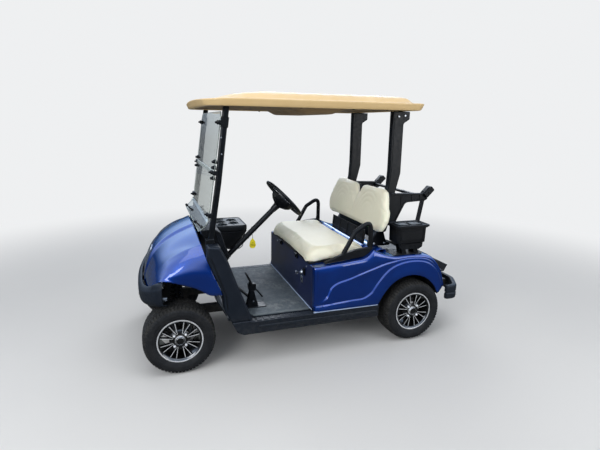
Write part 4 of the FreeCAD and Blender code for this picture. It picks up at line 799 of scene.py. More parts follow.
def leg(start, end, width_in, width_out, face_in, face_out, depth):
    """One leg of a split spoke: a bar with a bright face; start and end are (radius, angle in degrees)."""
    corners = []
    for (radius, angle), width, face in ((start, width_in, face_in), (end, width_out, face_out)):
        a = radians(angle)
        out = Vector((cos(a), 0, sin(a)))
        across = Vector((-sin(a), 0, cos(a)))
        here = out * radius
        for share, y in ((0.62, face), (1, face - 3), (1, face - depth)):
            corners.append([tuple(here + across * (width / 2 * share * s) + Vector((0, y, 0)))
                for s in (-1, 1)])
    points = [point for pair in corners for point in pair]
    faces = [(0, 1, 7, 6), (0, 6, 8, 2), (1, 3, 9, 7), (2, 8, 10, 4), (3, 5, 11, 9), (4, 10, 11, 5),
             (0, 2, 3, 1), (2, 4, 5, 3), (6, 7, 9, 8), (8, 9, 11, 10)]
    return (points, faces), [BRIGHT] + [DARK] * 9


rim_shapes, rim_marks = [], []


def rim_add(shape, mark):
    rim_shapes.append(shape)
    rim_marks.extend(mark if isinstance(mark, list) else [mark] * len(shape[1]))


def ring_band(profile, mark, steps=96):
    rim_add(lathe(profile, steps), mark)


# Barrel: bright outer lip, dark well with drop centre, dark inner flange
ring_band([(137, 93.4), (138.5, 94), (144.5, 94), (144.5, 90.5), (140, 89)], BRIGHT)
ring_band([(125, 84), (127, 88), (137, 93.4)], DARK)
ring_band([(125, 86), (123.5, 80), (122.8, 60), (119, 40), (119, -30), (124, -60), (126, -86), (137, -94),
    (144.5, -94), (144.5, -90), (136, -88), (128, -82), (126, -60), (122, -30), (122, 40), (126, 60),
    (127.5, 82), (140, 89)], DARK)
for i in range(8):
    middle = 22.5 + 45 * i
    for s in (-1, 1):
        rim_add(*leg((46, middle + s * 4), (128, middle + s * 9.4), 5, 7.6, 80, 82, 24))
# Floor of the spoke sockets, the hub ring, the centre cap, four sockets and their nuts
ring_band([(20, 58), (58, 58), (66, 62), (67, 66), (64, 68), (47, 70.5)], DARK)
ring_band([(47, 70.5), (49, 76), (47, 79), (37, 79.5), (33.5, 76), (32, 70)], DARK)
ring_band([(31.8, 68), (31.8, 84), (29.5, 90), (24, 93.5)], BRIGHT, 48)
ring_band([(24, 93.5), (22, 92.4), (12, 94), (0.02, 94.4)], DARK, 48)
ring_band([(29.2, 90.6), (27.6, 92.9), (26.2, 92.2), (25, 93.4)], DARK, 48)
for i in range(4):
    a = radians(45 + 90 * i)
    spot = Vector((50.8 * cos(a), 0, 50.8 * sin(a)))
    for profile, steps, mark in (((15, 78.5), (13.4, 80), (13.2, 70), (5, 69)), 20, DARK), (
            ((9.6, 70), (9.6, 85), (8.2, 87.4), (7.4, 90.5), (4.5, 92.6), (0.05, 93.3)), 6, BRIGHT):
        rim_add(moved(lathe(profile, steps), Matrix.Translation(spot)), mark)
# Valve stem
rim_add(rod((0, 60, 112), (0, 84, 108), 3.6, 12, 2.6), DARK)

AXLE_Z = 230
AXLES = {"front": (955, 920), "rear": (-735, 985)}  # place along the cart and track
wheel_meshes = {}
for name, out in (("front_left", 1), ("front_right", -1), ("rear_left", 1), ("rear_right", -1)):
    axle_x, track = AXLES[name.split("_")[0]]
    centre = Vector((axle_x, out * track / 2, AXLE_Z)) * MM
    facing = Matrix.Translation(centre) @ Matrix.Rotation(0 if out > 0 else pi, 4, "Z")
    for kind, shape, looks, marks, slot in (
        ("tyre", joined([tyre_shape] + side_rings), [LOOKS["tyre_rubber"], TREAD], tyre_marks, "tyre_rubber"),
        ("rim", joined(rim_shapes), [LOOKS["alloy"], GLOSS_BLACK], rim_marks, "alloy"),
    ):
        label = kind + "_dressed_" + name
        if kind not in wheel_meshes:
            first = build(label, shape, slot, "wheel_" + name, looks, 38, marks=marks)
            first.parent = None
            wheel_meshes[kind] = first.data
        else:
            first = bpy.data.objects.new(label, wheel_meshes[kind])
            scene.collection.objects.link(first)
        first.matrix_world = facing
        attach(first, "wheel_" + name)
        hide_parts(kind + "_" + name)

# Roof: rings of a rounded rectangle from the underside's lip over the rim to the crown
ROOF = (-725, 785, 588)  # rear end, front end, half width
BOW_FROM, BOW, DROP, RIM_LOW = 520, 26, 12, 1710  # the front edge is bowed back and dropped at its corners


def roof_ring(inset_rear, inset_front, inset_side, corner, height, rise):
    """Rounded rectangle inside the roof's outline, higher in the middle by rise."""
    x0, x1, half = ROOF[0] + inset_rear, ROOF[1] - inset_front, ROOF[2] - inset_side
    ring = []
    tight = corner * 0.45
    for radius, cx, cy, start in ((corner, x1 - corner, half - corner, 0),
            (tight, x0 + tight, half - tight, 90), (tight, x0 + tight, -half + tight, 180),
            (corner, x1 - corner, -half + corner, 270)):
        for k in range(9):
            a = radians(start + 11.25 * k)
            ring.append((cx + radius * cos(a), cy + radius * sin(a)))
    fine = []
    for i, (x, y) in enumerate(ring):
        nx, ny = ring[(i + 1) % len(ring)]
        steps = 10 if i % 9 == 8 else 1
        fine += [(x + (nx - x) * k / steps, y + (ny - y) * k / steps) for k in range(steps)]
    out = []
    for x, y in fine:
        corner_share = max(0, (x - BOW_FROM) / (ROOF[1] - BOW_FROM)) ** 2 * (y / ROOF[2]) ** 2
        out.append((x - BOW * corner_share, y,
                    height + rise * (1 - (y / half) ** 2) - DROP * corner_share * (height > RIM_LOW)))
    return out


def crowned(rings):
    """Closed rings joined into a skin whose last ring is filled."""
    points, faces = grid(rings, closed=True)
    return points, faces + [tuple(range(len(points) - len(rings[0]), len(points)))]


ROOF_RINGS = [  # rear, front and side inset, corner radius, height, rise in the middle
    (62, 60, 58, 80, 1688, 0), (34, 30, 28, 100, 1686, 0), (24, 20, 18, 108, 1687, 0),
    (17, 14, 13, 114, 1691, 0), (9, 8, 7, 122, 1706, 0), (3, 3, 2, 128, 1721, 0), (0, 0, 0, 130, 1727, 0),
    (2, 2, 2, 128, 1731, 0), (8, 8, 8, 124, 1733, 0), (20, 24, 20, 118, 1733.5, 1),
    (40, 60, 38, 110, 1734, 2), (56, 110, 52, 104, 1736, 4), (66, 140, 60, 100, 1741, 6),
    (80, 196, 70, 96, 1755, 8), (92, 246, 80, 92, 1764, 9), (104, 296, 92, 88, 1769, 11),
    (124, 350, 114, 80, 1774, 14), (190, 440, 190, 70, 1784, 16), (300, 540, 320, 60, 1793, 12),
    (420, 640, 440, 50, 1799, 6), (560, 730, 530, 30, 1803, 2), (700, 790, 575, 6, 1804, 0)]
roof = build("roof_shell", crowned([roof_ring(*ring) for ring in ROOF_RINGS]), "roof_tan", smooth=60,
             thick=4)
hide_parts("roof")
# Liner under the roof with its centre hump
liner_rings = [(30, 28, 26, 104, 1690, 0), (44, 44, 42, 96, 1688, 0), (60, 62, 60, 90, 1694, 0),
               (120, 130, 110, 80, 1698, 0), (420, 560, 150, 60, 1697, 0)]
hump = [(530, 640, 170, 54, 1690, 0), (556, 668, 200, 50, 1672, 0), (590, 688, 236, 44, 1658, 0),
        (610, 704, 262, 38, 1655, 0), (650, 744, 330, 30, 1655, 0), (720, 785, 560, 6, 1655, 0)]
liner = build("roof_lining", crowned([roof_ring(*ring) for ring in liner_rings + hump]), "roof_brown",
              smooth=50, thick=2)
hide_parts("roof_liner")
bolts = [rod((x, s * y, 1682), (x, s * y, 1694), 8, 6, bevel=2)
    for x, y in ((161, 548), (-195, 548), (-440, 548)) for s in (1, -1)]
build("roof_bolts", bolts, "black_steel", bevel=0.8)

# Front struts: bent tubes with rounded corners, a collar under the roof and a foot sleeve
STRUT_LINE = [(600, 1685.7), (660, 1218), (722, 828), (562, 316)]


def strut_outline(line, front, rear, bend=70):
    forward_side = [(x + front, z, bend if 0 < i < len(line) - 1 else 0) for i, (x, z) in enumerate(line)]
    back_side = [(x - rear, z, bend if 0 < i < len(line) - 1 else 0) for i, (x, z) in enumerate(line)]
    return forward_side + back_side[::-1]


struts = sides("front_strut", prism(strut_outline(STRUT_LINE, 36, 0), SIDE, 455, 495), "black_steel",
               bevel=7, smooth=30)
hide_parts("front_struts")
collar = prism([(604, 1621, 3), (612, 1558, 3), (655, 1563, 3), (648, 1626, 3)], SIDE, 451, 499)
sides("strut_collar", collar, "black_plastic", bevel=4)
sides("strut_foot_sleeve", prism([(716, 872, 4), (712, 836, 4), (766, 834, 4), (768, 868, 4)], SIDE, 449,
    501), "black_plastic", bevel=5)

# Rear struts: broad flat beams with a recessed outer face, caps at the roof and feet on the body
REAR_STRUT = [(-602, 1685.7), (-602, 1262, 80), (-596, 1150, 40), (-521, 800, 20), (-480, 745, 20),
    (-464, 722, 6), (-464, 690.5), (-545, 690.5), (-640, 690.5), (-640, 712, 10), (-604, 726, 20),
    (-580, 800, 60), (-640, 1020, 60), (-694, 1240, 80), (-694, 1600, 20), (-742, 1630, 10), (-742, 1685.7)]
struts = sides("rear_strut", prism(REAR_STRUT, SIDE, 308, 354), "black_steel", bevel=7, smooth=30)
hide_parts("rear_struts")
rib = prism([(-616, 1640, 8), (-616, 1270, 60), (-606, 1160, 30), (-552, 905, 16), (-572, 905, 10),
    (-634, 1140, 40), (-680, 1250, 60), (-680, 1590, 20), (-716, 1640, 8)], SIDE, 350, 357)
sides("rear_strut_rib", rib, "black_steel", bevel=3, smooth=30)
bolt_spots = [(-648, 1650), (-700, 1655), (-500, 712), (-588, 710), (-560, 960)]
strut_bolts = [rod((x, 352, z), (x, 361, z), 9, 6, bevel=2) for x, z in bolt_spots]
sides("rear_strut_bolts", strut_bolts, "bright_steel", bevel=0.8)

# Strut foot panels and rocker panels: one moulding a side
FOOT = [(486, 318), (626, 318), (668, 397, 60), (676, 515, 60), (776, 765, 20), (766, 842, 14),
    (690, 834, 14), (642, 739, 40), (580, 562, 60), (508, 376, 60)]
SILL = [(-446, 226, 8), (545, 222, 30), (590, 240, 40), (628, 318, 10), (486, 318), (470, 309),
    (-446, 312, 6)]
foot = prism(FOOT, SIDE, 448, 577)
sill = prism(SILL, SIDE, 517, 578)
feet = sides("foot_panel", foot, "slate_plastic", bevel=13, segments=4, smooth=30)
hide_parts("rocker_panels")
sides("rocker", sill, "slate_plastic", bevel=7, segments=3, smooth=30)
# Rocker relief: a long step with a rounded nose and a lip along the top
relief = prism([(-430, 250, 5), (200, 250, 5), (232, 262, 8), (440, 262, 5), (452, 272, 5), (440, 280, 5),
    (-430, 280, 5)], SIDE, 574, 584)
sides("rocker_relief", relief, "slate_plastic", bevel=3.5, smooth=30)
lip = prism([(-446, 300, 3), (470, 298, 3), (500, 306, 3), (500, 313, 3), (470, 311, 3), (-446, 316, 3)],
    SIDE, 520, 582)
sides("rocker_lip", lip, "slate_plastic", bevel=3, smooth=30)
ribs = [slab(60 + 46 * k, 90 + 46 * k, 528, 572, 311, 315) for k in range(9)]
sides("rocker_tread", ribs, "slate_plastic", bevel=1.6)
foot_groove = pipe([(652, 579, 420), (662, 579.5, 520), (748, 578.5, 768)], 2.2, 60)
sides("foot_seam", foot_groove, "black_plastic", smooth=60)

# Front bumper: lofted shell with a broad top facet
BUMPER = [  # y, nose x, top z, facet edge z, low z
    (0, 1198, 510, 488, 404), (150, 1195, 514, 492, 406), (290, 1180, 528, 506, 414),
    (380, 1158, 548, 526, 430), (450, 1132, 574, 548, 443), (510, 1104, 602, 572, 460),
    (550, 1076, 620, 588, 472), (566, 1052, 628, 596, 478)]
bumper_rows = []
for y, x, top, facet, low in BUMPER:
    lean = 0.8 if y < 460 else 0.35
    out = y / BUMPER[-1][0]
    bumper_rows.append([(x - 38 * lean, y - 26 * out, top + 3), (x - 27 * lean, y - 16 * out, top + 2),
        (x - 3, y, facet), (x, y, facet - 6), (x, y, (facet + low) / 2), (x - 4, y - 2 * out, low + 14),
        (x - 12, y - 8 * out, low + 3), (x - 30, y - 20 * out, low)])
halves = [[(a, -b, c) for a, b, c in row] for row in bumper_rows[:0:-1]] + bumper_rows
bumper = build("bumper_shell", grid(weave(halves, 3, 5, across_breaks=(2, 3))), "slate_plastic", thick=5,
    smooth=34)
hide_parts("front_bumper")

# Windscreen: polished edges round both clear sheets, painted pale as a highlight
SCREEN = {"upper": ([(642, 1655), (695, 1287)], 3, 60), "lower": ([(696, 1281), (740, 975), (802, 913)], 40,
    3)}


def screen_edge(line, radius_low, radius_top):
    low, top = line[-1][1] + 3, line[0][1] - 1
    ring = rounded([(-466, low, radius_low + 1), (466, low, radius_low + 1), (466, top, radius_top),
        (-466, top, radius_top)], 8)
    heights = [z for x, z in line][::-1]
    places = [x for x, z in line][::-1]
    points = []
    for here, after in zip(ring, ring[1:] + ring[:1]):
        count = max(1, int((after - here).length / 40))
        points += [here + (after - here) * k / count for k in range(count)]
    loops = []
    for grow, push in ((0, -0.4), (3.4, -0.4), (3.4, 5.6), (0, 5.6)):
        loop = []
        for p in points:
            y = p.x + copysign(grow, p.x) * (abs(p.x) > 400)
            z = p.y + (grow if p.y > (low + top) / 2 else -grow) * 0.9
            loop.append((float(np.interp(z, heights, places)) + push, y, z))
        loops.append(loop)
    return grid(loops + loops[:1], closed=True)


for name, (line, radius_low, radius_top) in SCREEN.items():
    build("screen_edge_" + name, screen_edge(line, radius_low, radius_top), "clear", looks=[EDGE_HIGHLIGHT],
          smooth=50)
knobs = []
for z, reach in ((1590, 34), (1284, 60), (1020, 34)):
    face = 642 + (740 - 642) * (z - 1655) / (975 - 1655) + 8
    knobs += [rod((face + 2, 475 - reach, z), (face + 14, 475 - reach, z), 15, 10, 12, 3),
        rod((face + 12, 475 - reach, z), (face + 24, 475 - reach, z), 7, 16, 6, 2),
        prism([(440 - reach / 2, z - 12, 5), (498, z - 14, 6), (498, z + 14, 6),
        (440 - reach / 2, z + 12, 5)], FRONT, face - 1, face + 5),
        slab(face - 22, face + 2, 472, 500, z - 13, z + 13)]
clips = sides("screen_clip", knobs, "black_plastic", bevel=2)
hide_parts("windscreen_clips")
screws = [rod((655, 478, z), (655, 500, z), 5, 8, bevel=1.5) for z in (1500, 1400)]
sides("strut_screws", screws, "bright_steel", bevel=0.6)

# Dash: the shelf across the cart and the middle pod, a tray of cup wells over a bin in the darkest black,
# painted shade in its hollow
SHELF = [(790, 916, 6), (700, 920, 20), (664, 895, 20), (616, 740, 20), (640, 700), (700, 700), (742, 840),
    (786, 890)]
shelf = build("dash_shelf", prism(SHELF, SIDE, -444, 444), "black_plastic", bevel=7, smooth=30)
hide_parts("dash")
for low, high, label in ((170, 420, "left"), (-420, -170, "right")):
    rim_line = [(-72, low, 26), (-72, high, 26), (66, high, 26), (66, low, 26)]
    ring_rows = [[(d, p.y - (p.y - (low + high) / 2) * g / 120, p.x - (p.x + 3) * g / 80)
                  for p in rounded(rim_line, 6)] for g, d in ((0, 0), (0, -5), (6, -5), (6, 0))]
    pocket = shifted(turned(grid(ring_rows, closed=True), 17.2, "Y"), 640, 0, 818)
    build("dash_pocket_" + label, pocket, "black_plastic", smooth=30)
end_ribs = [prism([(622 + 12 * k, 745), (627 + 12 * k, 745), (671 + 12 * k, 888), (666 + 12 * k, 888)], SIDE,
    443, 447) for k in range(3)]
sides("dash_end_ribs", end_ribs, "slate_plastic", bevel=1.2)

POD_TOP, POD_Y, POD_REAR, POD_FRONT = 866, 150, 430, 648
CUPS = [(600, -98, 36, 54), (600, 0, 36, 54), (600, 98, 36, 54), (508, -52, 33, 50), (508, 52, 33, 50)]
CELLS = [(554, POD_FRONT, -POD_Y + 6, -49), (554, POD_FRONT, -49, 49), (554, POD_FRONT, 49, POD_Y - 6),
         (POD_REAR + 10, 554, -POD_Y + 6, 0), (POD_REAR + 10, 554, 0, POD_Y - 6)]


def cup_cell(cup, cell):
    """Flat patch of the tray with one lipped well in it."""
    cx, cy, radius, depth = cup
    x0, x1, y0, y1 = cell
    ring = []
    for a in around(64):
        c, s = cos(a), sin(a)
        reach = min((x1 - cx) / c if c > 1e-6 else (x0 - cx) / c if c < -1e-6 else 1e9,
                    (y1 - cy) / s if s > 1e-6 else (y0 - cy) / s if s < -1e-6 else 1e9)
        ring.append((cx + reach * c, cy + reach * s, POD_TOP))
    rows = [ring]
    for grow, drop in ((7, 0), (5.5, -2.4), (2.5, -3), (0.5, -1.5), (0, 2), (-2, depth - 5), (-7, depth),
            (-radius + 0.1, depth)):
        rows.append([(cx + (radius + grow) * cos(a), cy + (radius + grow) * sin(a), POD_TOP - drop)
                     for a in around(64)])
    return grid(rows, closed=True)


build("cup_tray", joined([cup_cell(cup, cell) for cup, cell in zip(CUPS, CELLS)]), "black_plastic",
      looks=[TRAY], smooth=34)


def tray_loop(inset, z):
    x0, x1, half = POD_REAR - 6 + inset, POD_FRONT + 8 - inset, POD_Y - inset
    return [(p.x, p.y, z) for p in rounded([(x0, -half, 36 - inset), (x1, -half, 24 - inset),
        (x1, half, 24 - inset), (x0, half, 36 - inset)], 8)]


fascia = [tray_loop(*step) for step in ((3, 826), (0, 830), (0, 858), (2, 864), (6, 868), (11, 868.5),
    (14, 866), (14, 858), (9, 840), (9, 828), (3, 826))]
build("cup_tray_fascia", grid(fascia, closed=True), "black_plastic", smooth=34)
POD_SIDE = [(640, 850), (455, 850, 10), (434, 838, 8), (430, 822, 6), (496, 742, 24), (556, 692, 20),
    (660, 716), (720, 800)]
POD_OPEN = [(640, 850), (455, 850, 10), (434, 838, 8), (430, 822, 6), (444, 794, 3), (600, 804, 16),
    (600, 736, 16), (498, 732, 3), (512, 722, 8), (558, 692, 16), (660, 716), (720, 800)]
# The bin and its end walls take the darkest black: painted shade in the hollow under the cup tray
build("dash_bin", prism(POD_OPEN, SIDE, -134, 134), "black_plastic", looks=[BLACK_AND_SHADE], bevel=3, smooth=30)
for s, label in ((1, "left"), (-1, "right")):
    low, high = sorted((s * 132, s * 146))
    build("dash_bin_end_" + label, prism(POD_SIDE, SIDE, low, high), "black_plastic", looks=[BLACK_AND_SHADE], bevel=3,
          smooth=30)
    border = [Vector((p.x, s * 147, p.y)) for p in rounded([(452, 816, 20), (462, 716, 20), (488, 694, 20),
        (640, 722, 10), (640, 822, 10)], 5)]
    build("dash_bin_border_" + label, pipe(border + border[:1], 3, section=8), "black_plastic", smooth=50)

# Seat box front: glossy panel in a darker blue, painted shade under the seat, with a pale foot line, a
# painted highlight, key switch, direction switch and plate
BOX_X, BOX_TOP = 60.3, 634
kick = build("box_front_panel", slab(BOX_X - 4, BOX_X, -536, 536, 324, BOX_TOP), "blue_paint",
    looks=[SHADED_BLUE], bevel=1.5)
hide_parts("seat_box_front")
build("box_front_return", prism([(BOX_X - 2, 628, 2), (BOX_X - 2, BOX_TOP, 2), (40, 636), (40, 632)], SIDE,
    -536, 536), "blue_paint", looks=[SHADED_BLUE], bevel=0.8)
# Pale strips at the foot of the box front and along the body sides: painted highlight lines
foot_highlight = prism([(BOX_X - 1, 322), (BOX_X + 4, 322, 1.5), (BOX_X + 4, 326, 1.5), (BOX_X - 1, 329)], SIDE,
    -532, 538)
build("box_foot_highlight", foot_highlight, "blue_paint", looks=[HIGHLIGHT_STRIP], smooth=30)
side_highlight = prism([(BOX_X + 2, 318, 1), (BOX_X + 2, 324, 1), (-40, 324, 1), (-430, 322, 1), (-430, 317, 1),
    (-40, 318, 1)], SIDE, 574, 586)
sides("side_foot_highlight", side_highlight, "blue_paint", looks=[HIGHLIGHT_STRIP], bevel=1.6)
screws = [rod((BOX_X - 1, y, 603), (BOX_X + 4, y, 603), 6.5, 20, 5, 1.5) for y in (417, -322)]
build("box_screws", screws, "bright_steel", smooth=40)
key_body = [rod((BOX_X - 1, 310, 526), (BOX_X + 5, 310, 526), 17, 40, 15.5, 1.5),
            rod((BOX_X + 4, 310, 526), (BOX_X + 10, 310, 526), 11, 32, 10, 1)]
key_switch = build("key_switch", key_body, "silver_plate", smooth=40)
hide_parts("switch_plates")
key_blade = [slab(BOX_X + 9, BOX_X + 30, 308.6, 311.4, 520, 532),
    prism([(BOX_X + 26, 514, 6), (BOX_X + 46, 512, 8), (BOX_X + 46, 540, 8), (BOX_X + 26, 538, 6)], SIDE, 307,
    313)]
build("key", key_blade, "silver_plate", bevel=0.8)
rocker = [tile(354, 392, 524, 580, 6, FRONT, BOX_X - 1, BOX_X + 5),
          turned(tile(360, 386, 532, 572, 3, FRONT, BOX_X + 4, BOX_X + 11), 8, "Y",
                 (BOX_X + 4, 373, 552))]
build("direction_switch", rocker, "black_plastic", bevel=1.6, looks=[BLACK_AND_SHADE])
build("switch_plate", tile(298, 340, 452, 500, 5, FRONT, BOX_X - 1, BOX_X + 2.4),
      "silver_plate", bevel=0.8)
plate_marks = [rod((BOX_X + 2, 304, 458), (BOX_X + 4, 304, 458), 3, 12),
    rod((BOX_X + 2, 334, 494), (BOX_X + 4, 334, 494), 3, 12), rod((BOX_X + 2, 320, 476),
    (BOX_X + 6, 320, 476), 8, 24, 6.5, 1)]
build("switch_plate_rivets", plate_marks, "black_steel", smooth=40)

# Floor mat: thin rubber with a raised border and fine lengthwise ribs
MAT_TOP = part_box("floor_mat")[1][2] / MM
MAT_LINE = [(62, -508, 10), (478, -508, 20), (482, -444), (622, -444, 20), (622, 444, 20), (482, 444),
    (478, 508, 20), (62, 508, 10)]
mat = build("floor_mat_sheet", prism(MAT_LINE, PLAN, MAT_TOP - 5.6, MAT_TOP - 0.8), "floor_rubber", bevel=1.5)
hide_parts("floor_mat")
mat_ribs = [tile(92, 470, y - 3, y + 3, 1, PLAN, MAT_TOP - 1.2, MAT_TOP + 0.4)
            for y in range(-460, 470, 23)]
build("floor_mat_ribs", mat_ribs, "floor_rubber", bevel=0.5, segments=1)
# The border is lighter than the mat: painted highlight along its raised edge
border = [prism([(70, s * 494, 2), (472, s * 494, 4), (472, s * 504, 4), (70, s * 504, 2)][::s], PLAN,
    MAT_TOP - 1.5, MAT_TOP + 2.2) for s in (1, -1)]
build("floor_mat_border", border, "floor_rubber", looks=[MAT_HIGHLIGHT], bevel=1.6)

# Pedals: floor bracket with a spring housing, brake pad and throttle pad
base = slab(346, 488, 300, 384, MAT_TOP - 2, MAT_TOP + 5)
cheeks = [prism([(398, MAT_TOP, 4), (482, MAT_TOP, 4), (456, 442, 12), (430, 442, 12)], SIDE, y, y + 5)
    for y in (316, 356)]
housing = prism([(414, 436, 8), (466, 442, 8), (470, 492, 10), (412, 488, 10)], SIDE, 323, 354)
brake_arm = pipe([(440, 340, 372), (446, 342, 440), (458, 346, 505)], 8, 40, 12)
stems = [pipe([(440, 318, 360), (462, 300, 384), (486, 292, 400)], 6.5, 20, 10),
         pipe([(367, 352, 386), (392, 350, 420), (414, 346, 446)], 6, 20, 10),
         rod((436, 308, 367), (436, 372, 367), 8, 20, bevel=2)]
pedal_bits = build("pedal_bracket", joined([base, housing, brake_arm] + cheeks + stems), "black_steel",
    bevel=1.8, smooth=35)
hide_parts("pedals")


def foot_pad(width, length, lean, centre, ribs):
    plate = tile(-width / 2, width / 2, -length / 2, length / 2, 10, FRONT, -4, 5)
    bars = [slab(-8, -3, -width / 2 + 6, width / 2 - 6, z, z + 4.5)
            for z in np.linspace(-length / 2 + 8, length / 2 - 12, ribs)]
    return shifted(turned(joined([plate] + bars), lean, "Y"), *centre)


build("brake_pad", foot_pad(78, 88, 26, (464, 348, 528), 7), "black_steel", bevel=1.4, looks=[BLACK_AND_SHADE])
build("throttle_pad", foot_pad(56, 118, 46, (486, 290, 404), 9), "black_steel", bevel=1.4, looks=[BLACK_AND_SHADE])
pin_ends = [rod((436, y, 367), (436, y + 3, 367), 5, 16) for y in (370, 305)]
build("pedal_pin_ends", pin_ends, "bright_steel", smooth=40)

# Steering column and wheel about one slanted axis: WHEEL is the middle of the rim, DOWN points to the rack
TILT = radians(43.5)
WHEEL = Vector((178, 240, 1068))
DOWN = Vector((cos(TILT), 0, -sin(TILT)))
TOPWARD = Vector((sin(TILT), 0, cos(TILT)))
COLUMN = [(74, 640, 19, None, 2), (72, 122, 26, 21, 4), (300, 312, 21.5, None, 2), (372, 384, 21.5, None, 2)]
column_bits = [rod(WHEEL + DOWN * start, WHEEL + DOWN * end, radius, 32, far, bevel)
               for start, end, radius, far, bevel in COLUMN]
column = build("steering_column_tube", column_bits, "black_plastic", smooth=34)
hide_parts("steering_column")
bellows = [(34 - 5 * (k % 2) - 0.9 * k, 7 * k) for k in range(13)]
boot = lathe([(40, -4), (40, 0)] + bellows + [(18, 90)], 40)
turn = (-DOWN).to_track_quat("Y", "Z").to_matrix().to_4x4()
build("column_boot", moved(boot, Matrix.Translation(WHEEL + DOWN * 644) @ turn), "black_plastic", smooth=40)

RIM_R, GRIP = 158, 13.4
grip_rows = []
for a in around(144):
    row = []
    for b in around(18):
        bump = 1.3 * max(0, -cos(b)) * cos(36 * a)
        r = GRIP + bump - 0.6 * abs(sin(b))
        row.append(((RIM_R + r * cos(b)) * cos(a), r * sin(b) * 0.94, (RIM_R + r * cos(b)) * sin(a)))
    grip_rows.append(row)
grip = grid(grip_rows + grip_rows[:1], closed=True)
hub = lathe([(0.1, 7), (30, 7.5), (56, 5), (60, 2), (76, 0), (90, -7), (93, -15), (82, -36), (62, -54),
    (40, -64), (28, -70), (25, -74), (0.1, -74)], 72)
spokes = []
for angle in (0, 115, 245):
    rows = []
    for radius, half, top, low in ((70, 34, -2, -16), (100, 25, -4, -16), (130, 20, -2, -12),
            (152, 22, 2, -7)):
        rows.append([(radius, top - 3, -half), (radius, top, -half * 0.6), (radius, top, half * 0.6),
            (radius, top - 3, half), (radius, low, half * 0.7), (radius, low, -half * 0.7)])
    spokes.append(turned(grid(weave([row + row[:1] for row in rows], 1, 4)), -angle, "Y"))
# Local X of the wheel points to its top
wheel_frame = Matrix((TOPWARD, -DOWN, Vector((0, -1, 0)))).transposed().to_4x4()
wheel_place = Matrix.Translation(WHEEL) @ wheel_frame
steer = build("steering_wheel_grip", moved(grip, wheel_place), "black_plastic", "steering_wheel", smooth=60)
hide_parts("steering_wheel")
build("steering_wheel_hub", moved(hub, wheel_place), "black_plastic", "steering_wheel", smooth=34)
build("steering_wheel_spokes", moved(joined(spokes), wheel_place), "black_plastic", "steering_wheel",
    smooth=40)

# Hanging tag: a yellow drop on a thin tie, with two darker bars
loop_spot = WHEEL + DOWN * 342
TAG_X = loop_spot.x - sin(TILT) * 24.3
drop = prism([(TAG_X - 27, 716, 22), (TAG_X + 27, 716, 22), (TAG_X + 19, 766, 12), (TAG_X, 794, 5),
    (TAG_X - 19, 766, 12)], SIDE, 238.4, 241.6, 8)
tag = build("tag_drop", drop, "yellow", bevel=1.2, smooth=40)
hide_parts("key_tag")
bars = [slab(TAG_X - 15, TAG_X + 15, 241.2, 242.1, z, z + 4.5) for z in (744, 732)] + [
    slab(TAG_X - 7, TAG_X + 7, 241.2, 242.1, 756, 759)]
build("tag_bars", bars, "yellow", looks=[TAG_DARK], bevel=0.3, segments=1)
ring_points = [loop_spot + TOPWARD * 21 * cos(a) + Vector((0, 1, 0)) * 21 * sin(a)
               for a in around(32) + [2 * pi]]
tie = [pipe(ring_points, 2.6, section=8), pipe([(TAG_X, 240, 786), (TAG_X - 1, 240, 800),
    (TAG_X + 2, 240, 818)], 1.5, 6, 8)]
build("tag_tie", tie, "black_plastic", smooth=50)

# Front springs: damper with a coil of 8.5 turns round it, 18 steps a turn
COIL_STEPS = 153
for s, label in ((1, "left"), (-1, "right")):
    foot, top = (Vector((AXLES["front"][0], s * y, z)) for y, z in ((296.5, 148), (262, 598)))
    along = (top - foot).normalized()
    across_x = Vector((1, 0, 0))
    across_y = along.cross(across_x).normalized()
    coil = []
    for k in range(COIL_STEPS + 1):
        a = 2 * pi * k / 18
        d = 128 + 262 * k / COIL_STEPS
        coil.append(foot + along * d + across_x * 31 * cos(a) + across_y * 31 * sin(a))
    damper = [rod(foot + along * start, foot + along * end, radius, steps, bevel=bevel)
        for start, end, radius, steps, bevel in ((26, 230, 21, 28, 3), (228, 430, 9, 20, 0),
        (118, 126, 36, 32, 2), (392, 400, 36, 32, 2))]
    damper += [rod(eye - across_x * 16, eye + across_x * 16, radius, 24, bevel=3)
               for eye, radius in ((foot, 16), (top - along * 6, 15))]
    body = build("front_damper_" + label, damper, "black_steel", smooth=40)
    build("front_coil_" + label, pipe(coil, 5.2, section=8), "black_steel", smooth=60)
    if s > 0:
        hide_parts("front_shocks")

# Windscreen bands: a pale strip on the bend of the lower sheet, a painted highlight, and the hinge strip
# between the sheets in the pale edge colour, also a painted highlight
bend_line = [(738.6, 987), (740.4, 979), (743, 972), (747, 966.5)]
bend_rows = [[(x + 6.4, y, z + 1.5) for x, z in bend_line] for y in np.linspace(-452, 452, 13)]
build("screen_bend_highlight", grid(weave(bend_rows, 3, 1)), "clear", looks=[BEND_HIGHLIGHT], thick=1.2, smooth=60)
hinge = prism([(693.6, 1298, 2), (699.6, 1298, 2), (702.4, 1274, 2), (696.6, 1274, 2)], SIDE, -456, 456)
build("screen_hinge_band", shifted(hinge, 3.5, 0, 0), "clear", looks=[EDGE_HIGHLIGHT], bevel=1)
stops = []
for y, z, x in ((452, 1316, 697), (452, 1250, 706), (452, 1352, 692), (-452, 1316, 697), (-452, 1250, 706)):
    stops += [rod((x, y, z), (x + 18, y, z), 11, 8, 9, 2.5), slab(x - 12, x + 4, y - 14, y + 14, z - 13,
        z + 13)]
build("screen_hinge_blocks", stops, "black_plastic", bevel=2)
holders = []
for y in (-318, 318):
    holders += [rod((786, y, 926), (808, y, 948), 4.5, 12), rod((804, y, 944), (818, y, 958), 12, 6, 10, 2.5),
                turned(slab(800, 806, y - 32, y + 22, 938, 946), 12, "X", (803, y, 942))]
build("screen_foot_knobs", holders, "black_plastic", bevel=1.4)

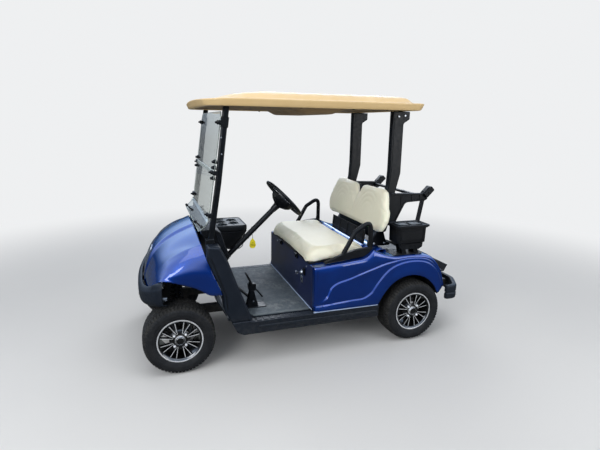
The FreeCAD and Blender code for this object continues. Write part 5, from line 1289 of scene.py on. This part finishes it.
# Seat cushion and back: closed forms filled with a short cloth simulation
SEAT_BOX = [[v / MM for v in corner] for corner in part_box("seat_cushion")]


def box_line(x):
    """Height of the seat box's rim above the ground: it rises to the rear from the front panel's top."""
    return BOX_TOP + (60 - x) * 0.085


def mesh_points(mesh):
    """Array of a mesh's points in metres."""
    points = np.empty(len(mesh.vertices) * 3)
    mesh.vertices.foreach_get("co", points)
    return points.reshape(-1, 3)


VOXEL, FRAMES = 9, 20


def filled(name, shape, pressure, reach, body, seams):
    """Cushion from a closed shape: remeshed, filled by pressure, its travel capped, then seamed."""
    piece = build(name, shape, "vinyl", body, smooth=180)
    remesh = piece.modifiers.new("remesh", "REMESH")
    remesh.mode = "VOXEL"
    remesh.voxel_size = VOXEL * MM
    graph = bpy.context.evaluated_depsgraph_get()
    start = bpy.data.meshes.new_from_object(piece.evaluated_get(graph))
    piece.modifiers.clear()
    piece.data = start
    before = mesh_points(start)
    np.random.seed(7)
    cloth = piece.modifiers.new("cloth", "CLOTH")
    for key, value in dict(quality=4, use_pressure=True, uniform_pressure_force=pressure,
            tension_stiffness=26, compression_stiffness=26, shear_stiffness=12, bending_stiffness=1.2,
            mass=0.3).items():
        setattr(cloth.settings, key, value)
    cloth.settings.effector_weights.gravity = 0
    cloth.collision_settings.use_collision = False
    for frame_number in range(1, FRAMES + 1):
        scene.frame_set(frame_number)
    graph = bpy.context.evaluated_depsgraph_get()
    ended = bpy.data.meshes.new_from_object(piece.evaluated_get(graph))
    move = mesh_points(ended) - before
    length = np.linalg.norm(move, axis=1, keepdims=True)
    cap = reach * MM
    after = before + move / np.maximum(length, 1e-9) * cap * np.tanh(length / cap)
    piece.modifiers.clear()
    scene.frame_set(1)
    after = seams(after / MM) * MM
    start.vertices.foreach_set("co", after.ravel())
    start.update()
    start.materials.clear()
    start.materials.append(LOOKS["vinyl"])
    start.shade_smooth()
    soft = piece.modifiers.new("soft", "SUBSURF")
    soft.levels = soft.render_levels = 1
    return piece


def spaced(line, gap):
    """Closed line with extra points no further apart than gap."""
    fine = []
    for here, after in zip(line, line[1:] + line[:1]):
        count = max(1, int((after - here).length / gap))
        fine += [here + (after - here) * k / count for k in range(count)]
    return fine


def drawn_in(line, inset):
    """Closed line moved inwards by inset."""
    count = len(line)
    ring = []
    for i, here in enumerate(line):
        ahead = (line[(i + 3) % count] - line[i - 3]).normalized()
        ring.append((here.x - ahead.y * inset, here.y + ahead.x * inset))
    return ring


# The bench: a broad pillow whose front edge rolls over the seat box in two lobes
SEAT_PLAN = [(-380, -482, 50), (80, -486, 78), (80, 486, 78), (-380, 482, 50)]
seat_line = spaced(rounded(SEAT_PLAN, 10), 30)


def seat_ring(inset, share):
    """Ring of the bench at a share of its height, from 0 below to 1 on top."""
    out = []
    for x, y in drawn_in(seat_line, inset):
        low = box_line(x) + 14 - 7 * (abs(y) > 474)
        front = max(0, min(1, x / 70))
        droop = 4 + 24 * front * min(1, abs(y) / 400)
        top = 733 + 5 * cos(pi * y / 1000) - 18 * front ** 1.5
        out.append((x, y, low + (top - low) * share - droop * (1 - share) ** 1.5 * (share < 0.99)))
    return out


seat_rows = [seat_ring(*ring) for ring in ((40, 0), (9, 0.02), (1, 0.12), (0, 0.36), (7, 0.6), (24, 0.79),
                                           (58, 0.92), (104, 0.985), (160, 1))]
seat_shape = grid(seat_rows, closed=True, caps=True)


def seat_seams(points):
    """Channel between the two places, thigh hollows, a stitched line, and a seat on the box's rim."""
    x, y, z = points[:, 0], points[:, 1], points[:, 2]
    top = ramp(z, 712, 18)
    dip = 5 * bell(y, 16) * top
    thigh = 6 * bell(np.abs(y) - 235, 130) * bell(x + 170, 110) * top
    line = 1.8 * bell(x + 318, 5) * top
    # The lower edge hangs over the box's front corners
    edge = ramp(np.abs(y), 430, 40) * ramp(x, -60, 60) * ramp(-z, -695, 40)
    z = z - dip - thigh - line - 14 * edge
    low = box_line(x) + 13.6
    z = np.where((x < 62) & (np.abs(y) < 474) & (z < low), low, z)
    z = np.maximum(z, low - 8)
    z = np.clip(z, None, SEAT_BOX[1][2] + 6)
    x = np.clip(x, SEAT_BOX[0][0] - 6, SEAT_BOX[1][0] + 8)
    y = np.clip(y, -SEAT_BOX[1][1] - 6, SEAT_BOX[1][1] + 6)
    return np.stack([x, y, z], axis=1)


seat = filled("seat_pillow", seat_shape, 4, 22, "seat_bottom", seat_seams)
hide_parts("seat_cushion")

# The back: butterfly outline with a deep notch, outer lobes and pressed arcs
BACK_ORIGIN = Vector((-461, 0, 814))
BACK_TILT = radians(12)
BACK_REAR = 52  # depth of the rear plane behind BACK_ORIGIN
LOBE_Y, LOBE_UP = 235, 120  # middle of the arcs on a lobe
BACK_HALF = [(0, 812), (190, 812), (300, 809), (416, 806), (470, 818), (500, 850), (522, 900), (524, 950),
    (508, 1000), (480, 1050), (456, 1096), (430, 1126), (392, 1142), (330, 1149), (200, 1150), (104, 1149),
    (66, 1140), (44, 1116), (22, 1080), (0, 1066)]


def back_place(y, z, depth):
    """Point on the leaning back: depth is in front of its rear plane."""
    up = (z - BACK_ORIGIN.z) / cos(BACK_TILT)
    return (BACK_ORIGIN.x - up * sin(BACK_TILT) + (depth - BACK_REAR) * cos(BACK_TILT), y,
            BACK_ORIGIN.z + up * cos(BACK_TILT) + (depth - BACK_REAR) * sin(BACK_TILT))


back_line = [Vector(p) for p in BACK_HALF] + [Vector((-y, z)) for y, z in BACK_HALF[-2:0:-1]]
back_line = spaced(back_line, 14)


def back_ring(inset, depth):
    return [back_place(y, z, depth) for y, z in drawn_in(back_line, inset)]


back_rows = [back_ring(*ring) for ring in ((34, 2), (12, 3), (4, 12), (3, 26), (7, 38), (18, 45))]
back_shape = grid(back_rows, closed=True, caps=True)


def back_seams(points):
    """Concentric arcs pressed into the top of each lobe and a soft valley down the middle."""
    normal = np.array([cos(BACK_TILT), 0, sin(BACK_TILT)])
    origin = np.array(tuple(BACK_ORIGIN))
    local = points - origin
    front = local @ normal
    y, up = points[:, 1], local[:, 2]
    facing = ramp(front, -12, 10)
    side = np.abs(y)
    press = np.zeros(len(points))
    away = np.hypot(side - LOBE_Y, up - LOBE_UP)
    for radius in (84, 122, 160):
        press += 6 * bell(away - radius, 7.5) * ramp(up, LOBE_UP, 70)
    press += 9 * bell(side, 30) * ramp(up, 30, 60)
    press += 3 * bell(side - LOBE_Y, 120) * bell(up - LOBE_UP, 80)
    points = points - normal[None, :] * (press * facing)[:, None]
    depth = (points - origin) @ normal
    over = np.clip(depth - 4, 0, None)
    behind = np.clip(-51.6 - depth, 0, None)
    return points - normal[None, :] * over[:, None] * 0.7 + normal[None, :] * behind[:, None]


back = filled("seat_back_pillow", back_shape, 3.6, 18, "chassis", back_seams)
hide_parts("seat_back")

# Hip restraints: a thick moulded base on each side of the bench with a tube loop over it
SEAT_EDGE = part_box("seat_cushion")[1][1] / MM
HIP_MID = SEAT_EDGE + 22
HIP_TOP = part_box("hip_restraints")[1][2] / MM
HIP_LINE = [(-31, 647), (-34, 656, 6), (-100, 680, 60), (-167, 704, 40), (-260, 728, 60), (-340, 737, 30),
    (-397, 740, 12), (-397, 694, 8), (-330, 674, 10), (-150, 657)]
HIP_LOOP = [(-383, 700), (-383, HIP_TOP + 5), (-264, 858), (-172, 696)]
hip = [prism(HIP_LINE, SIDE, HIP_MID - 13.5, HIP_MID + 13.5, 6),
       pipe([(x, HIP_MID, z) for x, z in HIP_LOOP], 16.8, 44, 20, 0.8)]
hips = sides("hip_restraint", hip, "black_plastic", "seat_bottom", bevel=9, segments=4, smooth=34)
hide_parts("hip_restraints")
collars = [pipe([(-382, HIP_MID, 724), (-382, HIP_MID, 756)], 18, 0, 20, 0.76),
           pipe([(-178, HIP_MID, 706), (-192, HIP_MID, 732)], 18, 0, 20, 0.76)]
collars += [prism([(x - 8, z - 5, 3), (x + 8, z - 3, 3), (x + 8, z + 6, 3), (x - 8, z + 4, 3)], SIDE,
    HIP_MID + 12.5, HIP_MID + 14) for x, z in ((-70, 660), (-220, 690), (-310, 700))]
sides("hip_collar", collars, "black_plastic", "seat_bottom", looks=[BLACK_AND_SHADE], bevel=2, smooth=40)

# Bag rack: a webbed arm with a raised rim on each strut, a flat leg and a turned strap block
RACK_IN, RACK_OUT = 354, 384
ARM_SIDE = [(-606, 1096, 6), (-890, 1086, 20), (-934, 1046, 12), (-905, 1030, 12), (-735, 1022, 40),
    (-655, 866, 12), (-588, 874, 6), (-580, 1000, 30)]
rack = [prism(ARM_SIDE, SIDE, RACK_IN, RACK_OUT - 7, 6)]
rim_line = spaced(rounded(ARM_SIDE, 6), 16)
rack.append(grid([[(x, RACK_OUT - drop, z) for x, z in drawn_in(rim_line, inset)]
                  for inset, drop in ((2, 9), (0, 3), (3, 0), (10, 0), (13, 7))], closed=True))
for x in (-700, -790, -860):
    foot = 1036 if x < -720 else 1000
    rack.append(prism([(x - 4, foot), (x + 4, foot), (x + 4, 1076), (x - 4, 1078)], SIDE, RACK_OUT - 8,
        RACK_OUT - 2))
rack.append(pipe([(-890, 369, 1040), (-862, 369, 884), (-848, 369, 780), (-814, 419, 706), (-808, 421, 671)],
    19, 34, 18, 0.55))
rack.append(slab(-842, -782, 398, 444, 669, 674))
racks = sides("bag_rack_arm", rack, "black_plastic", bevel=2.4, smooth=36)
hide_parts("bag_rack")
block = [prism([(-42, -22, 7), (42, -22, 7), (42, 22, 9), (-42, 22, 9)], SIDE, -15, 45),
         prism([(-30, 22, 2), (30, 22, 2), (26, 27, 2), (-26, 27, 2)], SIDE, -6, 36),
         rod((0, 44, 0), (0, 50, 0), 11, 24, None, 2)]
block += [slab(x - 2, x + 2, -15.6, 45.6, -18, 18) for x in (-30, -20, 20, 30)]
sides("rack_strap_block", placed(joined(block), (-928, 354, 1098), 45, "Y"), "black_plastic", bevel=2.5,
    smooth=36)
tie = [rod((-880, -354, 1062), (-880, 354, 1062), 12, 28)]
for start, end, *sizes in ((354, 336, 17, 28, 15, 2), (120, 90, 13.5, 28, None, 1.5)):
    tie += [rod((-880, s * start, 1062), (-880, s * end, 1062), *sizes) for s in (-1, 1)]
tie = build("rack_tie", tie, "black_steel", smooth=40)
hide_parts("rack_tie_bar")

# Sand box: drafted tub with a rolled rim, ribs and a latch lump
SAND_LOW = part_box("sand_box")[0][2] / MM
SAND_MOUTH = 872
SAND_REAR, SAND_FRONT, SAND_IN, SAND_OUT = -828, -584, 410, 548
PIN_X, PIN_Z = -846, 872.3  # hinge of the lid


def sand_ring(grow, z, corner):
    rear, front, inner, outer = SAND_REAR - grow, SAND_FRONT + grow, SAND_IN - grow, SAND_OUT + grow
    plan = [(rear, inner, corner), (front, inner, corner), (front, outer, corner), (rear, outer, corner)]
    return [(p.x, p.y, z) for p in rounded(plan, 7)]


tub = [grid([sand_ring(*ring) for ring in ((-8, SAND_LOW, 18), (-4, SAND_LOW + 3, 18),
    (-3.4, SAND_LOW + 9, 18), (-1, 858, 18), (-1, 862, 18), (8, 864, 20), (10, 866.4, 20), (10, 870.6, 20),
    (8.6, 871.8, 20), (-3, SAND_MOUTH, 16), (-5, 868, 16), (-15, SAND_LOW + 6, 14))], closed=True, caps=True)]
tub += [tile(x - 3, x + 3, SAND_LOW + 16, 858, 1, SIDE, 545, 548.6) for x in (-800, -612)]
tub.append(prism([(-792, 774, 10), (-620, 774, 10), (-618, 838, 10), (-794, 838, 10)], SIDE, 544, 547.6))
tub_box = build("sand_box_tub", tub, "black_plastic", bevel=1.2, segments=2, smooth=34)
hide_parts("sand_box")
lugs = [rod((PIN_X, y - 3, PIN_Z), (PIN_X, y + 3, PIN_Z), 5.8, 24, None, 0.8) for y in (460, 498)]
lugs += [slab(PIN_X, -832, y - 3, y + 3, 866.5, 871.8) for y in (460, 498)]
lugs.append(rod((PIN_X, 456.5, PIN_Z), (PIN_X, 501.5, PIN_Z), 2.6, 20))
build("sand_lid_pin", lugs, "black_steel", bevel=0.4, smooth=40)
frame_legs = [slab(-806, -606, 422, 536, 744.4, 749.4)]
for x in (0, 100):
    for y in (441, 514):
        frame_legs.append(prism([(-788 + x, 669), (-748 + x, 669), (-730 + x, 745), (-756 + x, 745)], SIDE, y,
            y + 3))
    frame_legs.append(slab(-792 + x, -744 + x, 440, 518, 669, 672))
    frame_legs.append(placed(slab(-2, 2, 441, 517, 0, 76), (-770 + x, 0, 669), 16, "Y"))
frame_legs.append(prism([(-807, 749, 3), (-605, 749, 3), (-612, 716, 10), (-640, 704, 14), (-776, 700, 14),
    (-804, 716, 10)], SIDE, 531, 536))
frame_legs.append(rod((-620, 526, 750), (-620, 526, 726), 13, 28, 11, 3))
frame_legs.append(pipe([(-796, 531, 746), (-802, 531, 722), (-790, 531, 714), (-782, 531, 722)], 4, 6, 12))
bracket = build("sand_box_bracket_plate", frame_legs, "black_steel", bevel=0.8, smooth=36)
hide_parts("sand_box_bracket")

# Lid: shallow tray with a raised rim, two open trays in it and its hinge knuckle
LID_LOW, LID_HIGH = PIN_Z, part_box("sand_box_lid")[1][2] / MM
KNUCKLE = (452, 506)  # the lid is notched here for its hinge
rear, front, inner, outer = SAND_REAR - 15, SAND_FRONT + 15, SAND_IN - 15, SAND_OUT + 15
LID_LINE = [(rear, KNUCKLE[0], 0), (rear, inner, 14), (front, inner, 16), (front, outer, 16),
    (rear, outer, 14), (rear, KNUCKLE[1], 0), (-824, KNUCKLE[1], 3), (-824, KNUCKLE[0], 3)]
lid = [prism(LID_LINE, PLAN, LID_LOW, LID_LOW + 8.6, 6)]
rim = [sand_ring(*ring) for ring in ((16, LID_LOW + 5, 18), (16, LID_HIGH - 2, 18), (14, LID_HIGH, 17),
                                     (7, LID_HIGH, 12), (5, LID_HIGH - 2, 11), (4, LID_LOW + 8, 10))]
rim = [[(max(x, -829) if KNUCKLE[0] < y < KNUCKLE[1] else x, y, z) for x, y, z in ring] for ring in rim]
lid.append(grid(rim, closed=True))
lid.append(rod((PIN_X, 464.5, LID_LOW), (PIN_X, 493.5, LID_LOW), 5.8, 24, None, 0.6))
lid.append(slab(PIN_X, SAND_REAR, 465, 493, LID_LOW + 0.6, LID_LOW + 5.4))
lid.append(prism([(-592, 470, 4), (-570, 472, 4), (-570, 486, 4), (-592, 488, 4)], PLAN, LID_LOW + 8,
    LID_HIGH - 0.4))
TRAYS = ((-806, -712), (-700, -606))
for x0, x1 in TRAYS:
    outer, inside = (rounded([(x0 + wall, 432 + wall, r), (x1 - wall, 432 + wall, r),
        (x1 - wall, 526 - wall, r), (x0 + wall, 526 - wall, r)]) for wall, r in ((0, 9), (3, 7)))
    lid.append(grid([[(p.x, p.y, z) for p in line] for line, z in (
        (outer, LID_LOW + 8), (outer, LID_HIGH - 0.6), (inside, LID_HIGH - 0.6), (inside, LID_LOW + 8.7))],
        closed=True))
cover = build("sand_lid_tray", lid, "black_plastic", "sand_lid", bevel=0.8, segments=2, smooth=36)
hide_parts("sand_box_lid")
floors = [tile(x0 + 3, x1 - 3, 435, 523, 7, PLAN, LID_LOW + 8.6, LID_LOW + 9.6)
          for x0, x1 in TRAYS]
build("sand_lid_floor", floors, "black_plastic", "sand_lid", looks=[PALE_TRAY], bevel=0.3)

# Deck plates on the rear fenders: speckled black sheets with raised studs
PLATE_LOW, PLATE_TOP = (value[2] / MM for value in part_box("deck_plates"))
plates = [prism([(-822, 404, 10), (-562, 404, 10), (-562, 546, 20), (-822, 546, 40)], PLAN, PLATE_LOW,
    PLATE_TOP - 0.9)]
for i in range(12):
    for j in range(7):
        x, y = -806 + 21 * i + (j % 2) * 8, 416 + 19 * j
        if (x < -796 and y > 510) or x > -572:
            continue
        stud = prism([(-6, 0), (0, -2.2), (6, 0), (0, 2.2)], PLAN, PLATE_TOP - 1.1, PLATE_TOP - 0.1)
        plates.append(placed(stud, (x, y, 0), 45 if (i + j) % 2 else -45, "Z"))
studded = sides("deck_plate", plates, "black_plastic", looks=[DECK], bevel=0.4, segments=1)
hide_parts("deck_plates")

# Rear bumper: bar with a groove along it, wrapped round the tail
BUMP_LOW, BUMP_TOP = (value[2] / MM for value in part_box("rear_bumper"))
REAR_PLAN = [(-1016, -592, 12), (-1110, -592, 70), (-1200, -430, 90), (-1200, 430, 90), (-1110, 592, 70),
    (-1016, 592, 12), (-1016, 560, 6), (-1090, 556, 60), (-1166, 420, 70), (-1166, -420, 70),
    (-1090, -556, 60), (-1016, -560, 6)]
tail_line = spaced(rounded(REAR_PLAN[::-1], 10), 14)
TAIL_LOW = [(11, 0), (5, 2), (1.4, 8), (0.4, 18), (0.4, 42), (3.4, 44.5), (5, 47), (5, 55), (3.4, 57.5),
    (0.4, 60)]
TAIL_HIGH = [(0.4, 16), (2, 7), (6, 2), (12, 0)]
levels = [(inset, BUMP_LOW + rise) for inset, rise in TAIL_LOW] + [(inset, BUMP_TOP - drop)
    for inset, drop in TAIL_HIGH]
tail_rows = [[(x, y, z) for x, y in drawn_in(tail_line, inset)] for inset, z in levels]
tail = build("rear_bumper_bar", grid(tail_rows, closed=True, caps=True), "slate_plastic", smooth=48)
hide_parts("rear_bumper")
stays = [tile(-1166, -1141, 337, 383, 3, SIDE, y - 19, y + 19) for y in (-190, 190)]
stays += [rod((-1146, y + dy, 360), (-1141.5, y + dy, 360), 6, 6) for y in (-190, 190) for dy in (-10, 10)]
stays = build("rear_bumper_stay", stays, "frame_steel", bevel=2)
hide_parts("rear_bumper_stays")

# Black support band across the body below the back
band = [prism([(-436, 704), (-442, 704), (-452, 812, 2), (-446, 812, 2)], SIDE, -306, 306)]
band += [prism([(-434, 728, 2), (-440, 728), (-442, 736), (-436, 736, 2)], SIDE, -300, 300)]
band += [prism([(-432, 706, 3), (-438, 706), (-448, 806), (-442, 806, 3)], SIDE, y - 6, y + 6)
    for y in (-280, -140, 0, 140, 280)]
build("back_support_band", band, "black_plastic", looks=[BLACK_AND_SHADE], bevel=1.2, smooth=36)
